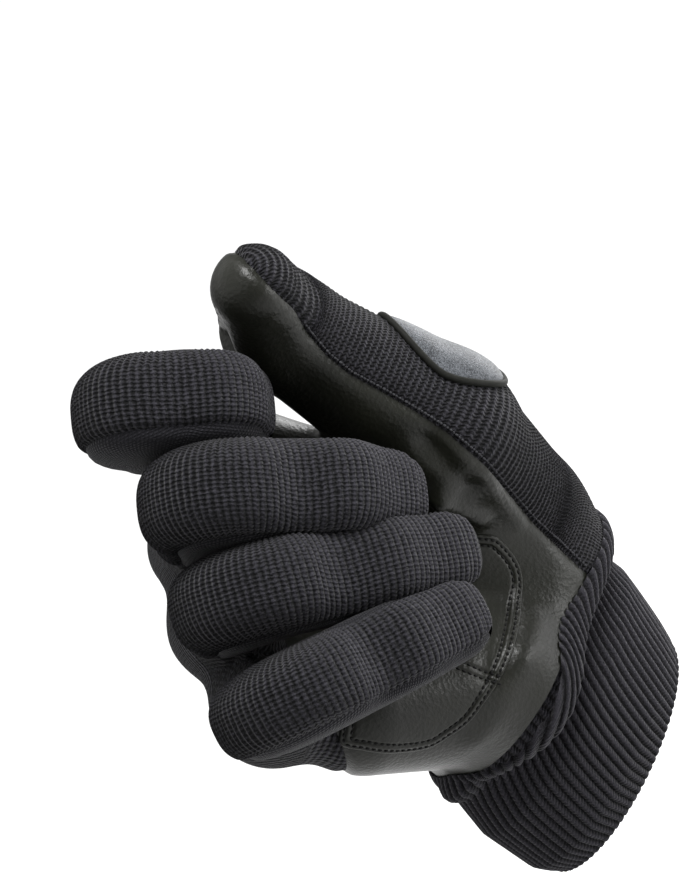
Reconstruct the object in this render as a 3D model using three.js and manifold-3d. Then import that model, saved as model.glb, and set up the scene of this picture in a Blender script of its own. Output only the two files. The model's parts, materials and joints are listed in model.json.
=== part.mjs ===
// A right-hand tactical glove of knit and soft leather with a ribbed cuff, closed in a grip.
// Millimetres. The origin is at the middle of the seam where the cuff is sewn to the hand.
// +Z runs from the cuff into the hand, +X is the thumb's side, and the palm faces -Y.
import * as THREE from 'three';
import { mergeVertices } from 'three/addons/utils/BufferGeometryUtils.js';
import Module from 'manifold-3d';

const wasm = await Module();
wasm.setup();

// Driving dimensions
const handLength = 188;          // wrist to the end of the straight middle finger
const palmBreadth = 90;          // across the knuckles
const palmDepth = 30;            // through the hand at the knuckles
const fingerWidth = 20;          // across the index finger
const thumbWidth = 24;           // across the thumb
const wristWidth = 74;           // cuff seam, across
const wristDepth = 47;           // cuff seam, front to back
const wall = 1.6;                // knit and leather of the hand and the fingers
const seamGap = 0.3;             // left between two pieces that are sewn together
const stripWidth = 8;            // fine knit let into the sides of a finger
const jointRadius = 8.6;         // radius that a finger's middle line turns with at a joint
const padLength = 30;            // guard on the thumb's knuckle, along the thumb
const padWidth = 20;
const padThickness = 1.8;
const patchThickness = 1.1;      // second layer of leather on the palm
const cuffLength = 31.5;         // seam to the turned edge
const cuffSlant = 2;             // how much more and less of it on the two sides
const cuffWall = 1.8;            // rib knit, without its ribs
const ribCount = 70;
const ribHeight = 0.9;
const facet = 7.2;               // size of the hand's facets

const rad = Math.PI / 180;

// The hand leans to the little finger's side at the wrist, and is bent back a little
const leanOut = 24.4;
const bendBack = 3.6;
const handTurn = new THREE.Matrix4().makeRotationX(-bendBack * rad)
  .multiply(new THREE.Matrix4().makeRotationY(-leanOut * rad));
handTurn.setPosition(0.053 * palmBreadth, -0.09 * palmDepth, 0);

// A place in the hand: across it, in front of its middle layer and along it, as shares of the
// palm's breadth and depth and the hand's length
function handPoint({ across, front, along }) {
  return new THREE.Vector3(across * palmBreadth, -front * palmDepth, along * handLength)
    .applyMatrix4(handTurn);
}

// Fingers: the knuckle's place, how far along its first bone the finger leaves the hand, bones
// as shares of the hand's length, bends at the three joints and lean in degrees, and girth as
// a share of the index finger's
const fingers = [
  {
    name: 'index', knuckle: { across: 0.272, front: 0, along: 0.43 }, web: 0.55,
    bones: [0.25, 0.102, 0.097], bends: [46, 111, 68], lean: 9, girth: 1,
  },
  {
    name: 'middle', knuckle: { across: 0.05, front: -0.06, along: 0.424 }, web: 0.5,
    bones: [0.271, 0.143, 0.118], bends: [68, 105, 29], lean: 9.5, girth: 1,
  },
  {
    name: 'ring', knuckle: { across: -0.138, front: 0, along: 0.399 }, web: 0.5,
    bones: [0.25, 0.158, 0.124], bends: [72, 104, 18], lean: 20, girth: 0.95,
  },
  {
    name: 'little', knuckle: { across: -0.35, front: 0.4, along: 0.368 }, web: 0.5,
    bones: [0.202, 0.134, 0.115], bends: [73, 102, 18], lean: 32, girth: 0.9,
  },
];

// Half sizes of a finger where its form changes, as shares of its width
const fingerForm = [
  { at: 'web', side: 0.45, top: 0.48, under: 0.45 },
  { at: 'middleJoint', side: 0.5, top: 0.68, under: 0.36 },
  { at: 'middleBone', side: 0.49, top: 0.44, under: 0.42 },
  { at: 'endJoint', side: 0.48, top: 0.5, under: 0.36 },
  { at: 'endBone', side: 0.46, top: 0.41, under: 0.42 },
  { at: 'tip', side: 0.42, top: 0.38, under: 0.38 },
];

// The palm's soft form: rounded bars from the wrist to the knuckles, one at the heel and one
// between the last two knuckles, with the radius at each end as a share of the palm's depth
const palmBars = [
  {
    from: { across: 0.07, front: 0.1, along: 0.05 }, to: { across: 0.27, front: 0.12, along: 0.4 },
    radii: [0.62, 0.36],
  },
  {
    from: { across: 0.03, front: 0.1, along: 0.05 }, to: { across: 0.05, front: 0.08, along: 0.4 },
    radii: [0.66, 0.36],
  },
  {
    from: { across: -0.09, front: 0.1, along: 0.05 },
    to: { across: -0.145, front: 0.22, along: 0.385 }, radii: [0.66, 0.34],
  },
  {
    from: { across: -0.16, front: 0.15, along: 0.04 },
    to: { across: -0.34, front: 0.5, along: 0.34 }, radii: [0.58, 0.33],
  },
  {
    from: { across: -0.2, front: 0.45, along: 0.08 },
    to: { across: -0.32, front: 0.52, along: 0.25 }, radii: [0.5, 0.42],
  },
  {
    from: { across: -0.14, front: 0.15, along: 0.385 },
    to: { across: -0.345, front: 0.42, along: 0.355 }, radii: [0.27, 0.3],
  },
];

// Thumb: places of its joints, with the radius as a share of the thumb's width
const thumbJoints = [
  { across: 0.227, front: 0.316, along: 0.074, radius: 0.675 },
  { across: 0.313, front: 1.002, along: 0.21, radius: 0.64 },
  { across: 0.472, front: 1.105, along: 0.418, radius: 0.475 },
  { across: 0.507, front: 1.475, along: 0.476, radius: 0.37 },
];
const palmBlend = palmDepth / 4;
const thumbBlend = thumbWidth / 2;

for (const finger of fingers) {
  const lean = finger.lean * rad;
  const sideways = new THREE.Vector3(Math.cos(lean), 0, Math.sin(lean));
  const forward = new THREE.Vector3(-Math.sin(lean), 0, Math.cos(lean));
  // In a finger's own frame x is the thumb's side, y the back and z forward
  finger.frame = handTurn.clone()
    .multiply(new THREE.Matrix4().makeBasis(sideways, new THREE.Vector3(0, 1, 0), forward));
  finger.frame.setPosition(handPoint(finger.knuckle));
  finger.lengths = finger.bones.map((bone) => bone * handLength);
  finger.width = fingerWidth * finger.girth;
}

// A frame that stands on the first bone: z along it, y to the finger's back
function firstBoneFrame(finger, distance) {
  return finger.frame.clone()
    .multiply(new THREE.Matrix4().makeRotationX(finger.bends[0] * rad))
    .multiply(new THREE.Matrix4().makeTranslation(0, 0, distance));
}

function makeBar(start, end, radii) {
  return { start, axis: end.clone().sub(start), radii };
}

// Signed distance to a rounded bar whose radius changes evenly along it
function barDistance(point, bar) {
  const along = point.clone().sub(bar.start).dot(bar.axis) / bar.axis.lengthSq();
  const share = THREE.MathUtils.clamp(along, 0, 1);
  const radius = THREE.MathUtils.lerp(bar.radii[0], bar.radii[1], share);
  return point.distanceTo(bar.start.clone().addScaledVector(bar.axis, share)) - radius;
}

function smoothUnion(a, b, blend) {
  const share = Math.max(blend - Math.abs(a - b), 0) / blend;
  return Math.min(a, b) - share * share * blend / 4;
}

// The wrist is a bar on each side, the thumb's side drawn in a little
const wristRadius = wristDepth / 2;
const wristBars = [{ side: 1, drawn: 0.69 }, { side: -1, drawn: 1 }].map(({ side, drawn }) => {
  const offset = side * drawn * (wristWidth / 2 - wristRadius);
  return makeBar(
    new THREE.Vector3(offset, 0, -wristRadius),
    new THREE.Vector3(offset * 0.85, 0, wristRadius * 0.25),
    [wristRadius, wristRadius * 0.95],
  );
});
const handBars = [
  ...wristBars,
  ...palmBars.map((row) => makeBar(
    handPoint(row.from), handPoint(row.to), row.radii.map((share) => share * palmDepth),
  )),
  ...fingers.map((finger) => makeBar(
    new THREE.Vector3().setFromMatrixPosition(finger.frame),
    new THREE.Vector3().setFromMatrixPosition(firstBoneFrame(finger, finger.lengths[0] * 0.72)),
    [palmDepth * 0.31 * finger.girth, finger.width * 0.47],
  )),
];
const thumbBars = thumbJoints.slice(1).map((joint, i) => makeBar(
  handPoint(thumbJoints[i]), handPoint(joint),
  [thumbJoints[i].radius, joint.radius].map((share) => share * thumbWidth),
));

// Signed distance to the outside of the hand with its thumb, without the fingers
function handDistance(point) {
  const palm = handBars.map((bar) => barDistance(point, bar))
    .reduce((a, b) => smoothUnion(a, b, palmBlend));
  const thumb = thumbBars.map((bar) => barDistance(point, bar))
    .reduce((a, b) => smoothUnion(a, b, palmBlend / 2));
  return smoothUnion(palm, thumb, thumbBlend);
}

function slopeAt(field, point) {
  const step = 0.05;
  const slope = new THREE.Vector3();
  for (const axis of ['x', 'y', 'z']) {
    const ahead = point.clone();
    const behind = point.clone();
    ahead[axis] += step;
    behind[axis] -= step;
    slope[axis] = (field(ahead) - field(behind)) / (2 * step);
  }
  return slope;
}

// A point moved onto the surface where the field is zero
function settled(field, start) {
  const point = start.clone();
  for (let round = 0; round < 4; round += 1) {
    const slope = slopeAt(field, point);
    point.addScaledVector(slope, -field(point) / Math.max(slope.lengthSq(), 0.05));
  }
  return point;
}

// Corners of a grid cell, and its faces as loops of corners
const corners = Array.from({ length: 8 }, (_, i) => [i & 1, (i >> 1) & 1, (i >> 2) & 1]);
const cellFaces = [1, 2, 4].flatMap((axis) => {
  const [u, v] = [1, 2, 4].filter((other) => other !== axis);
  return [0, axis].map((side) => [side, side + u, side + u + v, side + v]);
});

// The edges of one cell that the surface crosses, gathered into one list for each sheet
function sheetsInCell(inside) {
  const links = new Map();
  const keyOf = (a, b) => `${Math.min(a, b)},${Math.max(a, b)}`;
  const link = (a, b) => {
    links.set(a, [...(links.get(a) ?? []), b]);
    links.set(b, [...(links.get(b) ?? []), a]);
  };
  for (const face of cellFaces) {
    const crossed = face.map((corner, n) => [corner, face[(n + 1) % 4]])
      .filter(([a, b]) => inside[a] !== inside[b]);
    if (crossed.length === 2) link(keyOf(...crossed[0]), keyOf(...crossed[1]));
    if (crossed.length === 4) {
      face.forEach((corner, n) => {
        if (inside[corner]) link(keyOf(corner, face[(n + 1) % 4]), keyOf(corner, face[(n + 3) % 4]));
      });
    }
  }
  const waiting = new Set(links.keys());
  const sheets = [];
  while (waiting.size > 0) {
    const sheet = [];
    const stack = [waiting.values().next().value];
    while (stack.length > 0) {
      const edge = stack.pop();
      if (waiting.delete(edge)) {
        sheet.push(edge.split(',').map(Number));
        stack.push(...links.get(edge));
      }
    }
    sheets.push(sheet);
  }
  return sheets;
}

// Closed mesh of a field's zero surface: a vertex for each sheet in a cell, settled on the
// surface, and a quad round each grid edge that the surface crosses
function meshField(field, low, high, cell) {
  const counts = ['x', 'y', 'z'].map((axis) => Math.ceil((high[axis] - low[axis]) / cell) + 1);
  const at = ([i, j, k]) => i + counts[0] * (j + counts[1] * k);
  const place = ([i, j, k]) => new THREE.Vector3(i, j, k).multiplyScalar(cell).add(low);
  const nodes = [];
  for (let k = 0; k < counts[2]; k += 1) {
    for (let j = 0; j < counts[1]; j += 1) {
      for (let i = 0; i < counts[0]; i += 1) nodes.push([i, j, k]);
    }
  }
  const values = nodes.map((node) => field(place(node)));
  const vertices = [];
  const vertexOn = new Map();
  for (const node of nodes) {
    if (node.some((n, axis) => n === counts[axis] - 1)) continue;
    const around = corners.map((corner) => node.map((n, axis) => n + corner[axis]));
    const inside = around.map((other) => values[at(other)] < 0);
    if (inside.every(Boolean) || !inside.some(Boolean)) continue;
    for (const sheet of sheetsInCell(inside)) {
      const middle = new THREE.Vector3();
      for (const [a, b] of sheet) {
        const [from, to] = [values[at(around[a])], values[at(around[b])]];
        middle.add(place(around[a]).lerp(place(around[b]), from / (from - to)));
        const edge = [at(around[a]), at(around[b])].sort((x, y) => x - y);
        vertexOn.set(`${at(node)}:${edge}`, vertices.length);
      }
      middle.divideScalar(sheet.length);
      const point = settled(field, middle);
      vertices.push(point.distanceTo(middle) < cell * 0.7 ? point : middle);
    }
  }
  const triangles = [];
  const steps = [[1, 0, 0], [0, 1, 0], [0, 0, 1]];
  for (const node of nodes) {
    steps.forEach((step, axis) => {
      const next = node.map((n, i) => n + step[i]);
      if (next[axis] === counts[axis]) return;
      const [here, there] = [values[at(node)], values[at(next)]];
      if ((here < 0) === (there < 0)) return;
      const [u, v] = [steps[(axis + 1) % 3], steps[(axis + 2) % 3]];
      const quad = [[0, 0], [1, 0], [1, 1], [0, 1]].map(([a, b]) => {
        const cellNode = node.map((n, i) => n - a * u[i] - b * v[i]);
        return vertexOn.get(`${at(cellNode)}:${[at(node), at(next)]}`);
      });
      if (here >= 0) quad.reverse();
      const [a, b, c, d] = quad;
      const acrossFirst = vertices[a].distanceTo(vertices[c]);
      if (acrossFirst < vertices[b].distanceTo(vertices[d])) triangles.push(a, b, c, a, c, d);
      else triangles.push(a, b, d, b, c, d);
    });
  }
  return geometryFrom(vertices, triangles);
}

function geometryFrom(vertices, triangles) {
  const geometry = new THREE.BufferGeometry().setFromPoints(vertices);
  geometry.setIndex(triangles);
  return geometry;
}

// Geometry to a solid that can be cut, and back
function solidOf(source, matrix = new THREE.Matrix4()) {
  let geometry = source.clone().applyMatrix4(matrix);
  geometry.deleteAttribute('normal');
  geometry.deleteAttribute('uv');
  geometry = mergeVertices(geometry, 1e-4);
  return new wasm.Manifold(new wasm.Mesh({
    numProp: 3,
    vertProperties: new Float32Array(geometry.attributes.position.array),
    triVerts: new Uint32Array(geometry.index.array),
  }));
}

function geometryOf(solid) {
  const mesh = solid.getMesh();
  const geometry = new THREE.BufferGeometry();
  geometry.setAttribute('position', new THREE.BufferAttribute(new Float32Array(mesh.vertProperties), 3));
  geometry.setIndex(new THREE.BufferAttribute(new Uint32Array(mesh.triVerts), 1));
  return geometry;
}

// A solid over rows of points, each row a closed ring, shut at both ends by a fan
function skinRings(rings) {
  const count = rings[0].length;
  const vertices = rings.flat();
  const triangles = [];
  rings.slice(1).forEach((_, r) => {
    for (let n = 0; n < count; n += 1) {
      const [a, b] = [r * count + n, r * count + (n + 1) % count];
      triangles.push(a, b, b + count, a, b + count, a + count);
    }
  });
  for (const ring of [0, rings.length - 1]) {
    const hub = vertices.length;
    const middle = new THREE.Vector3();
    rings[ring].forEach((point) => middle.add(point));
    vertices.push(middle.divideScalar(count));
    for (let n = 0; n < count; n += 1) {
      const edge = [ring * count + n, ring * count + (n + 1) % count];
      triangles.push(hub, ...(ring === 0 ? edge.reverse() : edge));
    }
  }
  return geometryFrom(vertices, triangles);
}

// A sheet with a thickness, made of some quads of a grid: pointAt gives the place of a row,
// column and layer, and covers says which quads there are. The columns close in a ring, and
// the last row is a single point.
function sheetSolid(rows, columns, pointAt, covers) {
  const vertices = [];
  const indices = new Map();
  const vertex = (row, column, layer) => {
    const wrapped = row === rows ? 0 : column % columns;
    const key = `${row},${wrapped},${layer}`;
    if (!indices.has(key)) {
      indices.set(key, vertices.length);
      vertices.push(pointAt(row, wrapped, layer));
    }
    return indices.get(key);
  };
  const triangles = [];
  const rim = new Map();
  for (let row = 0; row < rows; row += 1) {
    for (let column = 0; column < columns; column += 1) {
      if (!covers(row, column)) continue;
      const loop = [[row, column], [row, column + 1], [row + 1, column + 1]];
      if (row + 1 < rows) loop.push([row + 1, column]);
      for (const layer of [0, 1]) {
        const face = loop.map(([r, c]) => vertex(r, c, layer));
        if (layer === 1) face.reverse();
        for (let n = 2; n < face.length; n += 1) triangles.push(face[0], face[n - 1], face[n]);
      }
      loop.forEach((from, n) => {
        const ends = [from, loop[(n + 1) % loop.length]];
        const [a, b] = ends.map(([r, c]) => vertex(r, c, 0));
        if (!rim.delete(`${b},${a}`)) rim.set(`${a},${b}`, ends);
      });
    }
  }
  for (const [from, to] of rim.values()) {
    const [a, b] = [from, to].map(([r, c]) => vertex(r, c, 0));
    const [c, d] = [to, from].map(([r, k]) => vertex(r, k, 1));
    triangles.push(b, a, d, b, d, c);
  }
  return geometryFrom(vertices, triangles);
}

// A finger's middle line from where it leaves the hand to its tip: places in its own frame,
// the angle turned so far and the distance travelled
function fingerStations(finger) {
  const stations = [];
  const landmarks = { web: 0 };
  let angle = finger.bends[0] * rad;
  let travelled = 0;
  const start = finger.lengths[0] * finger.web;
  let [y, z] = [-Math.sin(angle) * start, Math.cos(angle) * start];
  const go = (distance, chord) => {
    y -= Math.sin(angle) * chord;
    z += Math.cos(angle) * chord;
    travelled += distance;
  };
  const put = () => stations.push({ y, z, angle, travelled });
  put();
  // A straight stretch of each bone is left between the turns at its joints
  const taken = finger.bends.map((bend, i) => (i === 0 ? 0 : jointRadius * Math.tan(bend * rad / 2)));
  finger.lengths.forEach((length, bone) => {
    const straight = length - (bone === 0 ? start : taken[bone]) - (taken[bone + 1] ?? 0);
    if (bone > 0) landmarks[['middleBone', 'endBone'][bone - 1]] = travelled + straight / 2;
    for (const half of [straight / 2, straight / 2]) {
      go(half, half);
      put();
    }
    if (bone === 2) return;
    const turn = finger.bends[bone + 1] * rad;
    const steps = Math.max(2, Math.round(turn / (28 * rad)));
    landmarks[['middleJoint', 'endJoint'][bone]] = travelled + jointRadius * turn / 2;
    for (let n = 0; n < steps; n += 1) {
      angle += turn / steps / 2;
      go(jointRadius * turn / steps, 2 * jointRadius * Math.sin(turn / steps / 2));
      angle += turn / steps / 2;
      put();
    }
  });
  landmarks.tip = travelled;
  return { stations, landmarks };
}

function formAt(finger, landmarks, travelled) {
  const rows = fingerForm.map((row) => ({ ...row, travelled: landmarks[row.at] }));
  const next = Math.max(rows.findIndex((row) => row.travelled >= travelled), 1);
  const [from, to] = [rows[next - 1], rows[next]];
  const share = THREE.MathUtils.smoothstep(travelled, from.travelled, to.travelled);
  const [side, top, under] = ['side', 'top', 'under'].map((key) => (
    finger.width * THREE.MathUtils.lerp(from[key], to[key], share)
  ));
  return { side, top, under };
}

// Rings of a finger from the web to its rounded end, where they close in on a point
const tipSteps = [0, 0.5, 0.8, 0.96, 1];
for (const finger of fingers) {
  const { stations, landmarks } = fingerStations(finger);
  const last = stations[stations.length - 1];
  finger.rings = [
    ...stations.slice(0, -1).map((station) => ({ ...station, step: -1 })),
    ...tipSteps.map((step) => ({ ...last, step })),
  ].map((ring) => ({ ...ring, ...formAt(finger, landmarks, ring.travelled) }));
  finger.endRow = finger.rings.findIndex((ring) => ring.step === tipSteps[1]);
}

// Each finger is pressed narrower where the one on its thumb's side lies against it
function middleLine(finger) {
  return finger.rings.map((ring) => new THREE.Vector3(0, ring.y, ring.z).applyMatrix4(finger.frame));
}
fingers.forEach((finger, row) => {
  const here = middleLine(finger);
  const beside = row > 0 ? middleLine(fingers[row - 1]) : [];
  finger.rings.forEach((ring, n) => {
    const room = beside.slice(1).map((end, i) => {
      const nearest = new THREE.Line3(beside[i], end).closestPointToPoint(here[n], true, new THREE.Vector3());
      return nearest.distanceTo(here[n]) - fingers[row - 1].rings[i].side - seamGap;
    });
    ring.thumbSide = Math.max(Math.min(ring.side, ...room), ring.side / 2);
  });
});

// A point on a ring of a finger, at an angle round it, grown outwards or moved forward
const fingerSquareness = 0.86;
function fingerPoint(finger, ring, turn, grow, forward) {
  const dome = finger.width * 0.4;
  const reach = finger.width * 0.13;
  const closing = ring.step < 0 ? 1 : Math.sqrt(1 - ring.step ** 2);
  const ahead = forward + (ring.step < 0 ? 0 : reach + grow - (dome + grow) * (1 - ring.step));
  const bulge = (value) => Math.sign(value) * Math.abs(value) ** fingerSquareness;
  const across = ((Math.cos(turn) > 0 ? ring.thumbSide : ring.side) + grow) * bulge(Math.cos(turn)) * closing;
  const height = ((Math.sin(turn) > 0 ? ring.top : ring.under) + grow) * bulge(Math.sin(turn)) * closing;
  return new THREE.Vector3(
    across,
    ring.y - Math.sin(ring.angle) * ahead + Math.cos(ring.angle) * height,
    ring.z + Math.cos(ring.angle) * ahead + Math.sin(ring.angle) * height,
  );
}

// Columns round a finger: the strip on the thumb's side, the back, the other strip, the front
const stripColumns = 2;
const panelColumns = 5;
const edgeColumns = [0, stripColumns, stripColumns + panelColumns, 2 * stripColumns + panelColumns];
const fingerColumns = 2 * (stripColumns + panelColumns);

// The three pieces of a finger: waffle knit back, leather front, and the fine knit strip that
// runs up one side, round the tip and down the other
function fingerPanel(finger, part) {
  const half = stripWidth / 2 + (part === 'strip' ? -seamGap / 2 : seamGap / 2);
  const edgeTurn = (size, closing) => {
    const share = Math.min(half / (size * closing), 1) ** (1 / fingerSquareness);
    return Math.min(Math.asin(share), 55 * rad);
  };
  const pointAt = (row, column, layer) => {
    const ring = finger.rings[row];
    const grow = layer === 0 ? 0 : -wall;
    const closing = ring.step <= 0 ? 1 : Math.sqrt(1 - ring.step ** 2) + 1e-6;
    const over = edgeTurn(ring.top + grow, closing);
    const below = edgeTurn(ring.under + grow, closing);
    const edges = [-below, over, Math.PI - over, Math.PI + below, 2 * Math.PI - below];
    const section = edgeColumns.findLastIndex((edge) => edge <= column);
    const width = section % 2 === 0 ? stripColumns : panelColumns;
    const share = (column - edgeColumns[section]) / width;
    const turn = THREE.MathUtils.lerp(edges[section], edges[section + 1], share);
    const forward = part !== 'strip' && row === finger.endRow ? -seamGap : 0;
    return fingerPoint(finger, ring, turn, grow, forward);
  };
  const covers = (row, column) => {
    const section = edgeColumns.findLastIndex((edge) => edge <= column);
    if (row >= finger.endRow || section % 2 === 0) return part === 'strip';
    return part === (section === 1 ? 'back' : 'front');
  };
  return solidOf(sheetSolid(finger.rings.length - 1, fingerColumns, pointAt, covers), finger.frame);
}

// Half of space on the low side of a plane, as a large box
function halfSpace(normal, offset) {
  const size = 2 * handLength;
  const box = new THREE.BoxGeometry(size, size, size);
  box.translate(0, 0, -size / 2);
  const unit = normal.clone().normalize();
  const turn = new THREE.Quaternion().setFromUnitVectors(new THREE.Vector3(0, 0, 1), unit);
  return solidOf(box, new THREE.Matrix4().makeRotationFromQuaternion(turn)
    .setPosition(unit.multiplyScalar(offset)));
}

// The largest of the bodies a solid is made of
function mainBody(solid) {
  return solid.decompose().reduce((a, b) => (a.volume() > b.volume() ? a : b));
}

// Box on a finger's first bone: from one height to another over the bone, and from a distance
// along it onwards, as wide as a little past halfway to the fingers beside it
function boneBlock(finger, low, high, from, length, grow, besideShare = 0.53) {
  const row = fingers.indexOf(finger);
  const toThumb = finger.width * (row === 0 ? 0.9 : besideShare) + grow;
  const toLittle = finger.width * (row === fingers.length - 1 ? 0.9 : besideShare) + grow;
  const block = new THREE.BoxGeometry(toThumb + toLittle, high - low, length);
  block.translate((toThumb - toLittle) / 2, (high + low) / 2, length / 2);
  return solidOf(block, firstBoneFrame(finger, from));
}

// The hand's shell, open at the wrist and where the fingers leave it
const low = new THREE.Vector3(-palmBreadth, -palmBreadth, -3 * wristRadius);
const high = new THREE.Vector3(palmBreadth, palmBreadth, handLength);
const handAt = (height, cell) => (
  solidOf(meshField((point) => handDistance(point) - height, low, high, cell))
);
const wristPlane = halfSpace(new THREE.Vector3(0, 0, 1), seamGap / 2);
let hand = handAt(0, facet).subtract(handAt(-wall, facet * 1.3)).subtract(wristPlane);
for (const finger of fingers) {
  const web = finger.lengths[0] * finger.web - seamGap;
  const reach = finger.width * 0.7;
  hand = hand.subtract(boneBlock(finger, -reach, reach, web, handLength / 4, 0, 0.5));
}

// Panels of the hand, cut by a plane along the thumb, a plane between palm and back, and a
// block on each first bone, whose back is knit
const thumbSeam = { normal: new THREE.Vector3(0.878, -0.473, -0.074), offset: 21.5 };
const backSeam = {
  normal: new THREE.Vector3(-0.081, 0.934, 0.348).transformDirection(handTurn),
  offset: 0.54 * palmDepth,
};
function backRegion(gap) {
  let region = solidOf(new THREE.BoxGeometry(4 * handLength, 4 * handLength, 4 * handLength))
    .subtract(halfSpace(backSeam.normal, backSeam.offset + gap));
  for (const finger of fingers) {
    const bottom = finger.width * (finger.name === 'little' ? -0.15 : 0.1) + gap;
    const top = finger.width * 1.2;
    region = region.add(boneBlock(finger, bottom, top, gap - finger.width * 0.6, handLength / 3, -gap));
  }
  return region;
}
const palmHalf = hand.subtract(backRegion(-seamGap / 2));
const panels = {
  hand_back: mainBody(hand.intersect(backRegion(seamGap / 2))),
  palm_leather: mainBody(
    palmHalf.intersect(halfSpace(thumbSeam.normal, thumbSeam.offset - seamGap / 2)),
  ),
  thumb_back: mainBody(
    palmHalf.subtract(halfSpace(thumbSeam.normal, thumbSeam.offset + seamGap / 2)),
  ),
};
for (const finger of fingers) {
  for (const part of ['back', 'strip', 'front']) {
    panels[`${finger.name}_${part}`] = fingerPanel(finger, part);
  }
}

// A frame over the hand for a layer that lies on it: x to one side, y to the other and z outwards.
// Directions are across the hand, to its back and along it.
function layerFrame(centre, facing, rightward) {
  const out = new THREE.Vector3(...facing).transformDirection(handTurn);
  const right = new THREE.Vector3(...rightward).transformDirection(handTurn);
  right.addScaledVector(out, -right.dot(out)).normalize();
  const up = new THREE.Vector3().crossVectors(out, right);
  return new THREE.Matrix4().makeBasis(right, up, out).setPosition(handPoint(centre));
}

// Second layer of leather on the palm: its outline from its middle, as shares of the palm's
// breadth, to the thumb's side and away from the wrist
const patchOutline = [
  [0.214, 0.001], [0.08, 0.117], [-0.07, 0.221], [-0.18, 0.23], [-0.275, 0.21], [-0.28, 0.152],
  [-0.268, 0.076], [-0.242, 0.002], [-0.206, -0.037], [-0.165, -0.072], [-0.11, -0.099],
  [-0.056, -0.127], [0.015, -0.161], [0.095, -0.199], [0.154, -0.213], [0.202, -0.197],
  [0.239, -0.151], [0.252, -0.098],
];
const layerGap = 2 * seamGap;
const patchFrame = layerFrame(
  { across: -0.156, front: 0.87, along: 0.191 }, [-0.38, -0.9, -0.2], [1, 0, 0],
);
const patchColumn = solidOf(skinRings([-0.55, 0.5].map((height) => patchOutline.map(([u, v]) => (
  new THREE.Vector3(u * palmBreadth, v * palmBreadth, height * palmDepth)
)))), patchFrame);
panels.palm_patch = mainBody(
  handAt(layerGap + patchThickness, facet).subtract(handAt(layerGap, facet)).intersect(patchColumn),
);

// Padded guard on the thumb's knuckle: rings of points inside an oval, dropped onto the thumb,
// with a domed over side and a piped edge
const padFrame = layerFrame(
  { across: 0.345, front: 1.06, along: 0.255 }, [0.847, -0.457, -0.243], [0.368, 0.86, -0.334],
);
const padRings = [
  { share: 0.45, height: 0.95 }, { share: 0.78, height: 0.6 }, { share: 0.88, height: 0.75 },
  { share: 1, height: 0.4 },
];
const padSides = 16;

// The place over a point of the pad's frame where the hand is a given height below
function padPoint(u, v, height) {
  const above = (distance) => (
    handDistance(new THREE.Vector3(u, v, distance).applyMatrix4(padFrame)) - height
  );
  let [outside, inside] = [palmDepth, palmDepth - 1];
  while (above(inside) > 0) [outside, inside] = [inside, inside - 1];
  for (let round = 0; round < 16; round += 1) {
    const middle = (outside + inside) / 2;
    if (above(middle) > 0) outside = middle;
    else inside = middle;
  }
  return new THREE.Vector3(u, v, inside).applyMatrix4(padFrame);
}

function padRing(share, height) {
  return Array.from({ length: padSides }, (_, n) => {
    const turn = n / padSides * 2 * Math.PI;
    const [u, v] = [Math.cos(turn) * padWidth / 2, Math.sin(turn) * padLength / 2];
    return padPoint(u * share, v * share, height);
  });
}
const padUnder = [0.1, 0.55, 1].map((share) => padRing(share, layerGap));
const padOver = [...padRings].reverse()
  .map(({ share, height }) => padRing(share, layerGap + height * padThickness));
padOver.push(padRing(0.1, layerGap + padThickness));
panels.knuckle_pad = solidOf(skinRings([...padUnder, ...padOver]));

// Cuff: sections from the seam down to the turned edge. Depth below the seam is a share of the
// cuff's length, half sizes are shares of the wrist's, and shift and back move the section.
const cuffSections = [
  { depth: 0, wide: 0.92, deep: 0.93, shift: -0.026, back: 0 },
  { depth: 0.1, wide: 0.935, deep: 0.97, shift: -0.046, back: 0 },
  { depth: 0.2, wide: 0.89, deep: 0.91, shift: -0.06, back: 0.005 },
  { depth: 0.45, wide: 0.89, deep: 0.95, shift: -0.085, back: 0.014 },
  { depth: 0.85, wide: 0.87, deep: 0.93, shift: -0.092, back: 0.03 },
  { depth: 1, wide: 0.81, deep: 0.87, shift: -0.085, back: 0.035 },
];

function cuffRing(section, sides, grow, groove) {
  return Array.from({ length: sides }, (_, n) => {
    const turn = n / sides * 2 * Math.PI;
    const out = grow - (n % 2 === 1 ? groove : 0);
    return new THREE.Vector3(
      (section.wide * wristWidth / 2 + out) * Math.cos(turn) + section.shift * wristWidth,
      (section.deep * wristDepth / 2 + out) * Math.sin(turn) + section.back * wristWidth,
      -seamGap / 2 - section.depth * (cuffLength - cuffSlant * Math.cos(turn)),
    );
  });
}
const upward = [...cuffSections].reverse();
const cuffOuter = upward.map((row) => cuffRing(row, 2 * ribCount, 0, ribHeight));
const boreRows = [
  { ...upward[0], depth: 1.05 }, upward[1], upward[2], upward[3], { ...upward[5], depth: -0.05 },
];
const cuffBore = boreRows.map((row) => cuffRing(row, 30, -cuffWall - ribHeight, 0));
panels.cuff = solidOf(skinRings(cuffOuter)).subtract(solidOf(skinRings(cuffBore)));

// Finishes
const finish = (color, roughness) => new THREE.MeshStandardMaterial({ color, roughness, metalness: 0 });
const waffleKnit = finish(0x26262b, 0.92);
const fineKnit = finish(0x212126, 0.88);
const ribKnit = finish(0x1d1d20, 0.93);
const leather = finish(0x232420, 0.55);
const padLeather = finish(0x6d7276, 0.6);

const finishOf = (name) => {
  if (name === 'cuff') return ribKnit;
  if (name.endsWith('strip')) return fineKnit;
  if (name.endsWith('front') || name.includes('leather') || name.includes('patch')) return leather;
  return name === 'knuckle_pad' ? padLeather : waffleKnit;
};

const glove = new THREE.Group();
for (const [name, solid] of Object.entries(panels)) {
  const mesh = new THREE.Mesh(geometryOf(solid), finishOf(name));
  mesh.name = name;
  glove.add(mesh);
}

export default glove;
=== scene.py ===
import json
import math

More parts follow.
